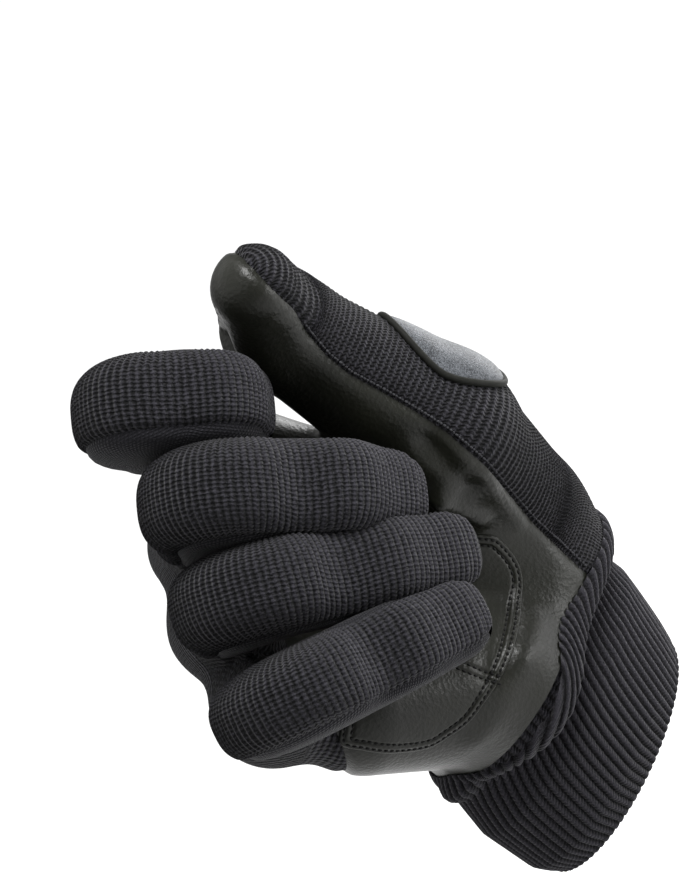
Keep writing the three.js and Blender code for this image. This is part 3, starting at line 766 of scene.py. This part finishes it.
for number, side in enumerate((-divider_half, divider_half)):
    thread_rows.append((f"palm_divider_stitches_{number + 1}", divider + divider_aside * side))
for name, row in thread_rows:
    row_points, row_out = laid_on(row, patch_frame)
    stitches(
        name, row_points + row_out * thread_rise, row_out, stitch_spacing, stitch_length,
        stitch_radius, thread, ["palm_patch"],
    )

# The cuff: an elastic tube of rib knit, gathered into a fat band where it is sewn to the hand, with
# a crease under the band. From the crease the ribs lean over to the little finger's side and run
# on to the scalloped edge, which is turned in. Lengths are shares of the cuff's unless they are
# millimetres.
cuff_length = 31.5
cuff_slant = 2
cuff_ribs = 70
rib_height = 1.1
rib_sharpness = 0.55
edge_radius = 1.1
band_end = 0.17
band_over_skin = 1.5
rise_fades = 0.65
push_fades = 0.1
band_lean = 0.1
rib_lean = 0.075
lean_reach = 0.22
cuff_sections = (
    # share of the length, half width and half depth as shares of the wrist's, shift, back
    (-0.12, 0.84, 0.84, -0.02, 0),
    (-0.03, 0.885, 0.89, -0.024, 0),
    (0.03, 0.93, 0.95, -0.032, 0),
    (0.1, 0.945, 0.98, -0.046, 0),
    (0.15, 0.925, 0.96, -0.053, 0.002),
    (0.19, 0.88, 0.9, -0.06, 0.005),
    (0.25, 0.88, 0.91, -0.067, 0.008),
    (0.45, 0.905, 0.95, -0.078, 0.014),
    (0.85, 0.835, 0.91, -0.104, 0.03),
    (0.95, 0.8, 0.875, -0.101, 0.034),
    (1.0, 0.775, 0.85, -0.1, 0.035),
)

# The rib knit's weave is in ribs along, so that the colour, with painted shade in each groove, follows each
# rib, and millimetres across
rib_knit = Finish("rib_knit", "rib_knit", 0.9, 0.06)
painted_rib_shading = rib_knit.wave(rib_knit.along, 1.0)
rib_slant = rib_knit.sum("PINGPONG", rib_knit.along, 0.5)
rib_stitch = rib_knit.wave(rib_knit.sum("MULTIPLY_ADD", rib_slant, 1.1, rib_knit.across), 0.8)
rib_fibres = rib_knit.grain(0.35, 3)
# Painted shade: the ribs' crowns are coloured lighter and their grooves darker, beside the fibres' own
# speckle
rib_knit.colour(
    rib_knit.total(-0.55, (painted_rib_shading, 0.7), (rib_fibres, 1.2)),
    (0.0015, 0.0015, 0.0018), (0.022, 0.021, 0.026),
)
rib_knit.relief(rib_knit.total(0.0, (rib_stitch, 0.5), (rib_fibres, 1.0)), 0.3, 0.8)

cuff_rows = np.concatenate([np.linspace(-0.12, 0.94, 72), np.linspace(0.95, 1.0, 6)])
cuff_columns = cuff_ribs * 10
table = np.array(cuff_sections, float)
fine = np.linspace(-0.12, 1.0, 400)
soften = np.hanning(19) / np.hanning(19).sum()
smooth = [
    np.convolve(np.pad(np.interp(fine, table[:, 0], table[:, k]), 9, mode="edge"), soften, "valid")
    for k in range(1, 5)
]
full_turn = np.linspace(0, 2 * np.pi, 2001)
arc = np.hypot(np.diff(wrist_width * np.cos(full_turn)), np.diff(wrist_depth * np.sin(full_turn)))
arc = np.concatenate([[0], np.cumsum(arc)]) / arc.sum()
round_share = np.arange(cuff_columns) / cuff_columns
around = np.interp(round_share, arc, full_turn)
lean_weight = 0.5 + 0.5 * np.cos(around - cuff_seam_peak)


def cuff_ring(share, inset, rib):
    """A ring of the cuff at a share of its length, set in from the outside, with ribs of a height."""
    wide, deep, shift, back = (np.interp(share, fine, column) for column in smooth)
    past = max(share - band_end, 0)
    leant = rib_lean * (1 - math.exp(-past / lean_reach)) + band_lean * min(share - band_end, 0)
    phase = cuff_ribs * (round_share + leant * lean_weight)
    crown = np.abs(np.cos(np.pi * phase)) ** rib_sharpness
    out = rib * (crown - 1) - inset
    x = (wide * wrist_width / 2 + out) * np.cos(around) + shift * wrist_width
    y = (deep * wrist_depth / 2 + out) * np.sin(around) + back * wrist_width
    z = -share * (cuff_length - edge_radius - cuff_slant * np.cos(around)) - 0.15
    z = z + cuff_seam_height(around) * (1 - min(past / rise_fades, 1)) ** 1.5
    ring = np.stack([x, y, z], -1)
    if past < push_fades:
        band_share = min(max((share + 0.02) / (band_end + 0.03), 0), 1)
        fat = band_over_skin * math.sin(math.pi * band_share) ** 0.5
        under, skin_up = on_skin(ring, 0, 2)
        low = fat + rib * (crown - 1) - inset - np.einsum("ij,ij->i", ring - under, skin_up)
        ring = ring + skin_up * np.maximum(low, 0)[:, None] * (1 - past / push_fades)
    return ring, np.stack([phase, np.full(cuff_columns, share * cuff_length)], -1)


rings = [cuff_ring(share, 0, rib_height) for share in cuff_rows if share > -0.03]
for turn in np.linspace(0.2, 1, 6) * np.pi:
    ring, weave = cuff_ring(1.0, edge_radius * (1 - math.cos(turn)), rib_height * (1 - turn / np.pi * 0.6))
    ring[:, 2] -= edge_radius * math.sin(turn)
    rings.append((ring, weave))
for share in np.linspace(0.97, 0.3, 12):
    rings.append(cuff_ring(share, 2 * edge_radius, rib_height * 0.4))
cuff_points = np.array([ring for ring, _ in rings])
cuff_weave = np.array([weave for _, weave in rings])
sew(
    "cuff_rib_knit", cuff_points, cloth_grid(len(rings), cuff_columns, True), rib_knit, ["cuff"],
    weave=cuff_weave,
)

# The back of the hand: one piece of stretchy waffle knit from the cuff over the knuckles, sewn to
# the palm's leather along both sides. Its ridges run across the hand and its stitches along it.
ridge_pitch = 1.55
ridge_lift = 0.16
stitch_pitch = 0.9
knit_turns_at = 62
knit_axis_depth = 12
knit_radius_along = 30
knit_radius_across = 32
waffle_knit = Finish("waffle_knit", "waffle_knit", 0.9, 0.05)
uneven = waffle_knit.grain(2.2, 2)
uneven_across = waffle_knit.grain(1.3, 2)
ridge_line = waffle_knit.sum("MULTIPLY_ADD", uneven, 0.7, waffle_knit.along)
stitch_line = waffle_knit.sum("MULTIPLY_ADD", uneven_across, 0.8, waffle_knit.across)
ridge = waffle_knit.wave(ridge_line, ridge_pitch)
stitch = waffle_knit.wave(stitch_line, stitch_pitch)
half_stitch = waffle_knit.wave(stitch_line, stitch_pitch, math.pi)
valley = waffle_knit.sum("SUBTRACT", 1.0, ridge)
hole = waffle_knit.sum("MULTIPLY", valley, stitch)
loops = waffle_knit.sum("MULTIPLY", ridge, half_stitch)
fibres = waffle_knit.grain(0.3, 3)
waffle_height = waffle_knit.total(0.0, (ridge, 0.5), (hole, -0.9), (loops, 0.6))
tufts = waffle_knit.grain(0.75, 2)
# The colour follows the knit's height: painted shade in the holes and painted highlight on the ridges and
# loops; the fibres and tufts are the yarn's own speckle
waffle_knit.colour(
    waffle_knit.total(-0.97, (waffle_height, 0.5), (fibres, 1.3), (tufts, 0.9)),
    (0.0012, 0.0012, 0.0015), (0.033, 0.032, 0.039),
)
waffle_knit.relief(waffle_knit.total(0.0, (waffle_height, 1.0), (fibres, 0.6)), 0.35, 0.9)

back_keep = np.minimum(back_side(skin_points), webs(skin_points))
back_points, back_faces = trimmed(skin_points, skin_faces, back_keep)
back_points = seam_pressed(back_points, back_side(back_points))
_, back_out = on_skin(back_points, 0, 0)
back_points = sunk_at_webs(back_points, back_out)
hand_places = (back_points - hand_shift) @ hand_turn
past_knuckles = np.maximum(hand_places[:, 2] - knit_turns_at, 0)
over_axis = hand_places[:, 1] + knit_axis_depth
back_across = np.arctan2(hand_places[:, 0], np.hypot(over_axis, past_knuckles)) * knit_radius_across
round_knuckles = np.arctan2(past_knuckles, np.maximum(over_axis, 0))
back_along = np.minimum(hand_places[:, 2], knit_turns_at) + round_knuckles * knit_radius_along
sew(
    "hand_back_knit", back_points, back_faces, waffle_knit, ["hand_back"],
    weave=np.stack([back_along, back_across], -1),
)

# The back of the thumb: the same waffle knit from the cuff to the tip, with ridges that run round
# the thumb. It is sewn to the palm's leather on one side and to the hand's back on the other, with
# a row of grey thread just inside each edge.
thumb_line = np.array([[15.0, -5.0, 0.0]] + [hand_point(*place) for place, _ in thumb_joints])
thumb_facing = hand_turn @ np.array([0.83, -0.42, -0.37])
thumb_ridge_pitch = 1.3
thumb_spacing = thumb_ridge_pitch / 6
thumb_columns = 56
upright_reach = 22
seam_stitch_spacing = 0.85
seam_stitch_length = 0.75
seam_stitch_radius = 0.3
seam_stitch_rise = 0.12


def march_out(origins, directions, limit=45):
    """Where lines from inside the hand come out through its skin."""
    reach = np.zeros(len(origins))
    for _ in range(26):
        reach = np.clip(reach - skin_distance(origins + directions * reach[:, None]), 0, limit)
    return origins + directions * reach[:, None]


thumb_curve, thumb_length = smooth_curve(thumb_line, False, 60)
travelled = np.arange(0, thumb_length[-1], thumb_spacing)
line = read_off(travelled, thumb_length, thumb_curve)
ahead = unit(np.gradient(line, axis=0))
upright = np.exp(-(travelled / upright_reach) ** 2)[:, None]
ahead = unit(ahead * (1 - upright) + np.array([0, 0, 1.0]) * upright)
cap_turns = np.linspace(0, np.pi / 2 - 0.01, 52)[1:]
line = np.concatenate([line, np.repeat(line[-1:], len(cap_turns), 0)])
tilt = np.concatenate([np.zeros(len(travelled)), cap_turns])[:, None]
ahead = np.concatenate([ahead, np.repeat(ahead[-1:], len(cap_turns), 0)])
outward = unit(thumb_facing - ahead * (ahead @ thumb_facing)[:, None])
aside = np.cross(ahead, outward)


def thumb_skin(rows, turns):
    """Points of the skin on the thumb's sections, turned from the middle of its back."""
    radial = outward[rows] * np.cos(turns)[:, None] + aside[rows] * np.sin(turns)[:, None]
    direction = radial * np.cos(tilt[rows]) + ahead[rows] * np.sin(tilt[rows])
    return march_out(line[rows], direction)


rows = np.arange(len(line))
probe = np.linspace(0, np.pi, 60)
edges = []
for sign in (1, -1):
    probed = [thumb_skin(rows, np.full(len(rows), sign * turn)) for turn in probe]
    values = np.stack([np.minimum(thumb_seam(points), -back_side(points)) for points in probed], 1)
    gone = np.argmax(values < 0, axis=1)
    before = np.maximum(gone - 1, 0)
    a, b = values[rows, before], values[rows, gone]
    share = np.where(gone > 0, a / np.maximum(a - b, 1e-6), 0)
    edge = probe[before] + (probe[gone] - probe[before]) * share
    edges.append(sign * np.where((values > 0).all(1), np.pi, edge))
shares = np.linspace(0, 1, thumb_columns)
turns = edges[1][:, None] + (edges[0] - edges[1])[:, None] * shares
thumb_points = thumb_skin(np.repeat(rows, thumb_columns), turns.ravel())
_, thumb_up = on_skin(thumb_points, 0, 0)
thumb_up = thumb_up.reshape(len(line), thumb_columns, 3)
ridge_turns = 2 * np.pi * rows * thumb_spacing / thumb_ridge_pitch
thumb_grid = thumb_points.reshape(thumb_up.shape)
thumb_grid = thumb_grid + thumb_up * (ridge_lift * np.cos(ridge_turns))[:, None, None]
column_steps = np.linalg.norm(np.diff(thumb_grid, axis=1), axis=2)
edge_distance = np.minimum(shares, 1 - shares)[None, :] * column_steps.sum(1)[:, None]
thumb_grid = thumb_grid - thumb_up * (seam_dip * np.exp(-(edge_distance / seam_reach) ** 2))[:, :, None]
column_steps = np.linalg.norm(np.diff(thumb_grid, axis=1), axis=2)
around_length = np.concatenate([np.zeros((len(line), 1)), np.cumsum(column_steps, 1)], 1)
around_length -= around_length[:, [thumb_columns // 2]]
row_length = rows * thumb_spacing * ridge_pitch / thumb_ridge_pitch
sew(
    "thumb_back_knit", thumb_grid, cloth_grid(len(line), thumb_columns), waffle_knit,
    ["thumb_back"], core=np.repeat(line, thumb_columns, 0),
    weave=np.stack([np.repeat(row_length, thumb_columns), around_length.ravel()], -1),
)

seam_thread = Finish("seam_thread", None, 0.85)
seam_thread.colour(seam_thread.grain(0.3, 2), (0.003, 0.003, 0.0035), (0.05, 0.05, 0.055))
sewn_rows = slice(30, int(len(travelled) * 0.97))
for side, column in (("palm", 1), ("back", -2)):
    up = thumb_up[sewn_rows, column]
    stitches(
        f"thumb_seam_stitches_{side}", thumb_grid[sewn_rows, column] + up * seam_stitch_rise, up,
        seam_stitch_spacing, seam_stitch_length, seam_stitch_radius, seam_thread, ["thumb_back"],
    )

# The guard on the thumb's knuckle: an oval of grey speckled leather over soft padding. It is sewn
# onto the knit, and a dark leather piping covers its edge.
pad_length = 30
pad_width = 20
pad_height = 1.3
pad_edge_height = 0.5
piping_radius = 0.75
piping_height = 0.5
piping_at = 0.93
piping_sides = 12
pad_frame = layer_frame((0.345, 1.06, 0.255), (0.847, -0.457, -0.243), (0.368, 0.86, -0.334))
pad_leather = Finish("pad_leather", "pad_leather", 0.5)
pad_speckles = pad_leather.grain(0.32, 3)
pad_patches = pad_leather.grain(3.5, 2)
pad_leather.colour(
    pad_leather.total(-1.25, (pad_speckles, 2.6), (pad_patches, 0.8)),
    (0.01, 0.011, 0.013), (0.085, 0.091, 0.1),
)
pad_leather.relief(pad_speckles, 0.2, 0.6)
piping_leather = Finish("piping_leather", "leather", 0.7)
piping_leather.colour(piping_leather.grain(1.5), (0.003, 0.0032, 0.0025), (0.009, 0.0095, 0.0075))

pad_turns = np.linspace(0, 2 * np.pi, 240, endpoint=False)
pad_oval = np.stack([np.cos(pad_turns) * pad_width / 2, np.sin(pad_turns) * pad_length / 2], -1)
pad_shares = np.linspace(0.01, piping_at, 60)
pad_flat = (pad_oval * pad_shares[:, None, None]).reshape(-1, 2)
pad_points, pad_out = laid_on(pad_flat, pad_frame)
pad_rise = np.repeat(pad_shares / piping_at, len(pad_turns))
pad_lift = pad_edge_height + pad_height * np.sqrt(np.clip(1 - pad_rise ** 3, 0, 1))
pad_points = pad_points + pad_out * pad_lift[:, None]
guard = sew(
    "thumb_knuckle_guard", pad_points, cloth_grid(len(pad_shares), len(pad_turns), True),
    pad_leather, ["knuckle_pad"], core=pad_points - pad_out,
)


def closed_tube(path, out, radius, sides):
    """Points and faces of a round cord along a closed path that lies on the cloth."""
    forward = unit(np.roll(path, -1, 0) - np.roll(path, 1, 0))
    beside = np.cross(out, forward)
    turn = np.linspace(0, 2 * np.pi, sides, endpoint=False)
    tube = (path[:, None] + beside[:, None] * np.cos(turn)[None, :, None] * radius
            + out[:, None] * np.sin(turn)[None, :, None] * radius)
    last = (len(path) - 1) * sides + np.arange(sides)
    first = np.arange(sides)
    closing = np.stack([last, np.roll(last, -1), np.roll(first, -1), first], -1)
    return tube.reshape(-1, 3), np.concatenate([cloth_grid(len(path), sides, True), closing])


edge_points, edge_out = laid_on(pad_oval * (piping_at + 0.02), pad_frame)
edge_points = edge_points + edge_out * piping_height
piping_points, piping_faces = closed_tube(edge_points, edge_out, piping_radius, piping_sides)
sew(
    "thumb_guard_piping", piping_points, piping_faces, piping_leather, ["knuckle_pad"],
    core=np.repeat(edge_points, piping_sides, 0),
)

# The four fingers: each a tube of three cloths, waffle knit over the back, leather on the front,
# and a strip of fine knit that runs up one side, round the tip and down the other. They are sewn
# edge to edge, with the seams turned in.
strip_width = 8
joint_radius = 8.6
squareness = 0.74
fullness = 1.05
strip_rises = {"index": 0.86, "middle": 0.45, "ring": 0.45, "little": 0.76}
strip_falls = {"index": 6.5, "middle": 4.0, "ring": 4.0, "little": 4.0}
joint_fullness = {"index": 1.0, "middle": 1.0, "ring": 1.12, "little": 1.4}
finger_root = 7
root_narrows = 0.16
end_reach = 0.4
end_past = 0.13
finger_gap = 0.3
tip_rows = 26
tip_columns = 64
finger_form = (
    # the web, the middle of each joint and bone after it, and the tip, with the half sizes to the
    # side, the back and the front as shares of the finger's width
    ("web", 0.45, 0.48, 0.45), ("middle_joint", 0.5, 0.68, 0.36), ("middle_bone", 0.49, 0.44, 0.42),
    ("end_joint", 0.48, 0.5, 0.36), ("end_bone", 0.46, 0.41, 0.42), ("tip", 0.42, 0.38, 0.38),
)

fine_knit = Finish("fine_knit", "fine_knit", 0.85, 0.06)
fine_slant = fine_knit.sum("MULTIPLY_ADD", fine_knit.across, 0.35, fine_knit.along)
fine_rows = fine_knit.wave(fine_slant, 0.55)
fine_stitches = fine_knit.wave(fine_knit.across, 0.6)
fine_fibres = fine_knit.grain(0.3, 3)
fine_height = fine_knit.sum("MULTIPLY", fine_rows, fine_stitches)
# Painted shade between the rows and stitches, taken from the knit's height; the fibres are the yarn's own
# speckle
fine_knit.colour(
    fine_knit.total(-0.05, (fine_height, 0.4), (fine_fibres, 0.7)),
    (0.0015, 0.0015, 0.0018), (0.019, 0.0185, 0.023),
)
fine_knit.relief(fine_knit.total(0.0, (fine_height, 1.0), (fine_fibres, 0.5)), 0.25, 0.9)


class FingerLine:
    """The middle line of a finger, its sections, and where each of them lies along it."""

    def __init__(self, finger, spacing=0.2):
        self.finger = finger
        angle = finger.bends[0]
        start = finger.bones[0] * finger.web
        taken = [start] + [joint_radius * math.tan(bend / 2) for bend in finger.bends[1:]] + [0]
        pieces = []
        for bone, length in enumerate(finger.bones):
            pieces.append((length - taken[bone] - taken[bone + 1], 0.0))
            for turn in finger.bends[bone + 1:bone + 2]:
                pieces.append((joint_radius * turn, turn))
        ends = np.cumsum([length for length, _ in pieces])
        section_at = np.concatenate([[0], (ends[:-1] + ends[1:]) / 2, ends[-1:]])
        self.length = ends[-1]
        steps = []
        for length, turn in pieces:
            count = max(2, int(length / spacing))
            steps += [(length / count, turn / count)] * count
        y, z = -math.sin(angle) * start, math.cos(angle) * start
        table = [(y, z, angle, 0.0)]
        gone = 0.0
        for length, turn in steps:
            angle += turn / 2
            y -= math.sin(angle) * length
            z += math.cos(angle) * length
            angle += turn / 2
            gone += length
            table.append((y, z, angle, gone))
        self.table = np.array(table)
        sizes = np.array([row[1:] for row in finger_form]) * finger.width * (fullness, 1, 1)
        sizes[:2, 1] *= joint_fullness[finger.name]
        place = np.searchsorted(section_at, self.table[:, 3]).clip(1, len(section_at) - 1)
        share = (self.table[:, 3] - section_at[place - 1]) / (section_at[place] - section_at[place - 1])
        share = np.clip(share, 0, 1)
        share = share * share * (3 - 2 * share)
        self.sizes = sizes[place - 1] + (sizes[place] - sizes[place - 1]) * share[:, None]
        self.line = finger.placed(np.pad(self.table[:, :2], ((0, 0), (1, 0))))

    def at(self, travelled):
        """y, z, angle and the three half sizes at distances along the line; below 0 runs on back."""
        values = [np.interp(travelled, self.table[:, 3], self.table[:, k]) for k in range(3)]
        before = np.minimum(travelled, 0)
        values[0] = values[0] - np.sin(values[2]) * before
        values[1] = values[1] + np.cos(values[2]) * before
        sizes = [np.interp(travelled, self.table[:, 3], self.sizes[:, k]) for k in range(3)]
        return values + sizes

    def surface(self, travelled, cap, turn):
        """Points on the tube. cap runs from 0 to 1 over the rounded end."""
        y, z, angle, side, top, under = self.at(travelled)
        closing = np.where(cap > 0, np.sqrt(np.clip(1 - cap ** 2, 0, 1)), 1)
        closing = closing * (1 - root_narrows * np.clip(-travelled / finger_root, 0, 1))
        ahead = np.where(cap > 0, self.finger.width * (end_past - end_reach * (1 - cap)), 0)
        cosine, sine = np.cos(turn), np.sin(turn)
        across = side * np.sign(cosine) * np.abs(cosine) ** squareness * closing
        height = np.where(sine > 0, top, under) * np.sign(sine) * np.abs(sine) ** squareness * closing
        points = np.stack([
            across,
            y - np.sin(angle) * ahead + np.cos(angle) * height,
            z + np.cos(angle) * ahead + np.sin(angle) * height,
        ], -1)
        core = np.stack([across * 0, y - np.sin(angle) * ahead, z + np.cos(angle) * ahead], -1)
        return points, core


lines = {name: FingerLine(finger) for name, finger in hands.items()}


def pressed_aside(points, beside):
    """Points pushed out of the finger that lies against them, where there is one."""
    if beside is None:
        return points
    flat = points.reshape(-1, 3)
    middle = beside.line[::6]
    reach = beside.sizes[::6, 0]
    away = flat[:, None, :] - middle[None, :, :]
    distance = np.linalg.norm(away, axis=2)
    closest = np.argmin(distance - reach, axis=1)
    pick = np.arange(len(flat))
    depth = np.maximum(reach[closest] + finger_gap - distance[pick, closest], 0)
    push = away[pick, closest] / np.maximum(distance[pick, closest], 1e-6)[:, None]
    return (flat + push * depth[:, None]).reshape(points.shape)


def panel_turns(name, part, top, under):
    """The turns at which a panel starts and ends, from the half sizes to the back and the front.
    The strip on the little finger's side rises further over than the other one."""
    reaches = ((strip_width / 2, top), (strip_width / 2, under), (strip_falls[name], under))
    over, below, fallen = (
        np.arcsin(np.clip(reach / size, 0, 0.8) ** (1 / squareness)) for reach, size in reaches
    )
    risen = np.full(len(top), math.asin(strip_rises[name] ** (1 / squareness)))
    return {
        "back": (over, np.pi - risen), "front": (np.pi + fallen, 2 * np.pi - below),
        "thumb_strip": (-below, over), "little_strip": (np.pi - risen, np.pi + fallen),
    }[part]


def finger_panel(name, part, spacing, columns):
    """Rows of points for one cloth of a finger, and the line inside it."""
    tube = lines[name]
    end = tube.length
    guide_turn = {"back": np.pi / 2, "front": -np.pi / 2, "thumb_strip": 0.0, "little_strip": np.pi}[part]
    dense = np.linspace(-finger_root, end - (end_reach - end_past) * tube.finger.width, 1200)
    guide, _ = tube.surface(dense, np.zeros(len(dense)), np.full(len(dense), guide_turn))
    length = run_lengths(guide)
    travelled = np.interp(np.arange(0, length[-1], spacing), length, dense)
    cap = np.full(len(travelled), 0.0)
    capped = np.linspace(0, 0.5, max(10, int(end_reach / 2 * tube.finger.width / spacing)))[1:]
    travelled = np.concatenate([travelled, np.full(len(capped), end)])
    cap = np.concatenate([cap, capped])
    top, under = tube.at(travelled)[4:]
    closing = np.sqrt(1 - cap ** 2)
    first, last = panel_turns(name, part, top * closing, under * closing)
    shares = np.linspace(0, 1, columns)
    turns = first[:, None] + (last - first)[:, None] * shares
    points, core = tube.surface(np.repeat(travelled, columns), np.repeat(cap, columns), turns.ravel())
    shape = (len(travelled), columns, 3)
    return points.reshape(shape), core.reshape(shape)


def finger_tip(name):
    """The strip's rounded end, from where the back and the front stop to the very tip."""
    tube = lines[name]
    cap = np.sin(np.linspace(math.asin(0.5), np.pi / 2 - 0.02, tip_rows))
    turns = np.arange(tip_columns) / tip_columns * 2 * np.pi
    return tube.surface(
        np.full(tip_rows * tip_columns, tube.length), np.repeat(cap, tip_columns),
        np.tile(turns, tip_rows),
    )


def grid_out(points, core):
    """Outward directions of a grid of points round a core."""
    out = np.cross(np.gradient(points, axis=0), np.gradient(points, axis=1))
    out /= np.maximum(np.linalg.norm(out, axis=2, keepdims=True), 1e-9)
    return out if np.sum(out * (points - core)) > 0 else -out


def lengths_of(points):
    """Lengths along the rows and across the columns of a grid, for its weave."""
    down = run_lengths(points.mean(1))
    steps = np.linalg.norm(np.diff(points, axis=1), axis=2)
    across = np.concatenate([np.zeros((len(points), 1)), np.cumsum(steps, 1)], 1)
    across -= across[:, [points.shape[1] // 2]]
    return np.repeat(down[:, None], points.shape[1], 1), across


panel_plan = (
    # part, spacing of rows, columns, cloth, node
    ("back", ridge_pitch / 6, 34, waffle_knit, "back"),
    ("front", 0.9, 22, leather, "front"),
    ("thumb_strip", 0.5, 16, fine_knit, "strip"),
    ("little_strip", 0.5, 16, fine_knit, "strip"),
)
tip_turns = np.arange(tip_columns) / tip_columns * 2 * np.pi * 7
tip_weave = np.stack(np.broadcast_arrays(np.arange(tip_rows)[:, None] * 0.5, tip_turns), -1)
beside = None
for name, finger in hands.items():
    for part, spacing, columns, cloth, node in panel_plan:
        points, core = finger_panel(name, part, spacing, columns)
        out = grid_out(points, core)
        down, across = lengths_of(points)
        if part == "back":
            down = np.repeat(run_lengths(points[:, columns // 2])[:, None], columns, 1)
            points = points + out * (ridge_lift * np.cos(2 * np.pi * down / ridge_pitch))[:, :, None]
        edge = np.minimum(across - across[:, :1], across[:, -1:] - across)
        dip = seam_dip * np.exp(-(np.abs(edge) / seam_reach) ** 2)
        placed = pressed_aside(finger.placed(points - out * dip[:, :, None]), beside)
        sew(
            f"{name}_{part}_cloth", placed, cloth_grid(len(points), columns), cloth,
            [f"{name}_{node}"], core=finger.placed(core), weave=np.stack([down, across], -1),
        )
    points, core = finger_tip(name)
    sew(
        f"{name}_tip_cloth", pressed_aside(finger.placed(points), beside),
        cloth_grid(tip_rows, tip_columns, True), fine_knit, [f"{name}_strip"],
        core=finger.placed(core), weave=tip_weave,
    )
    beside = lines[name]
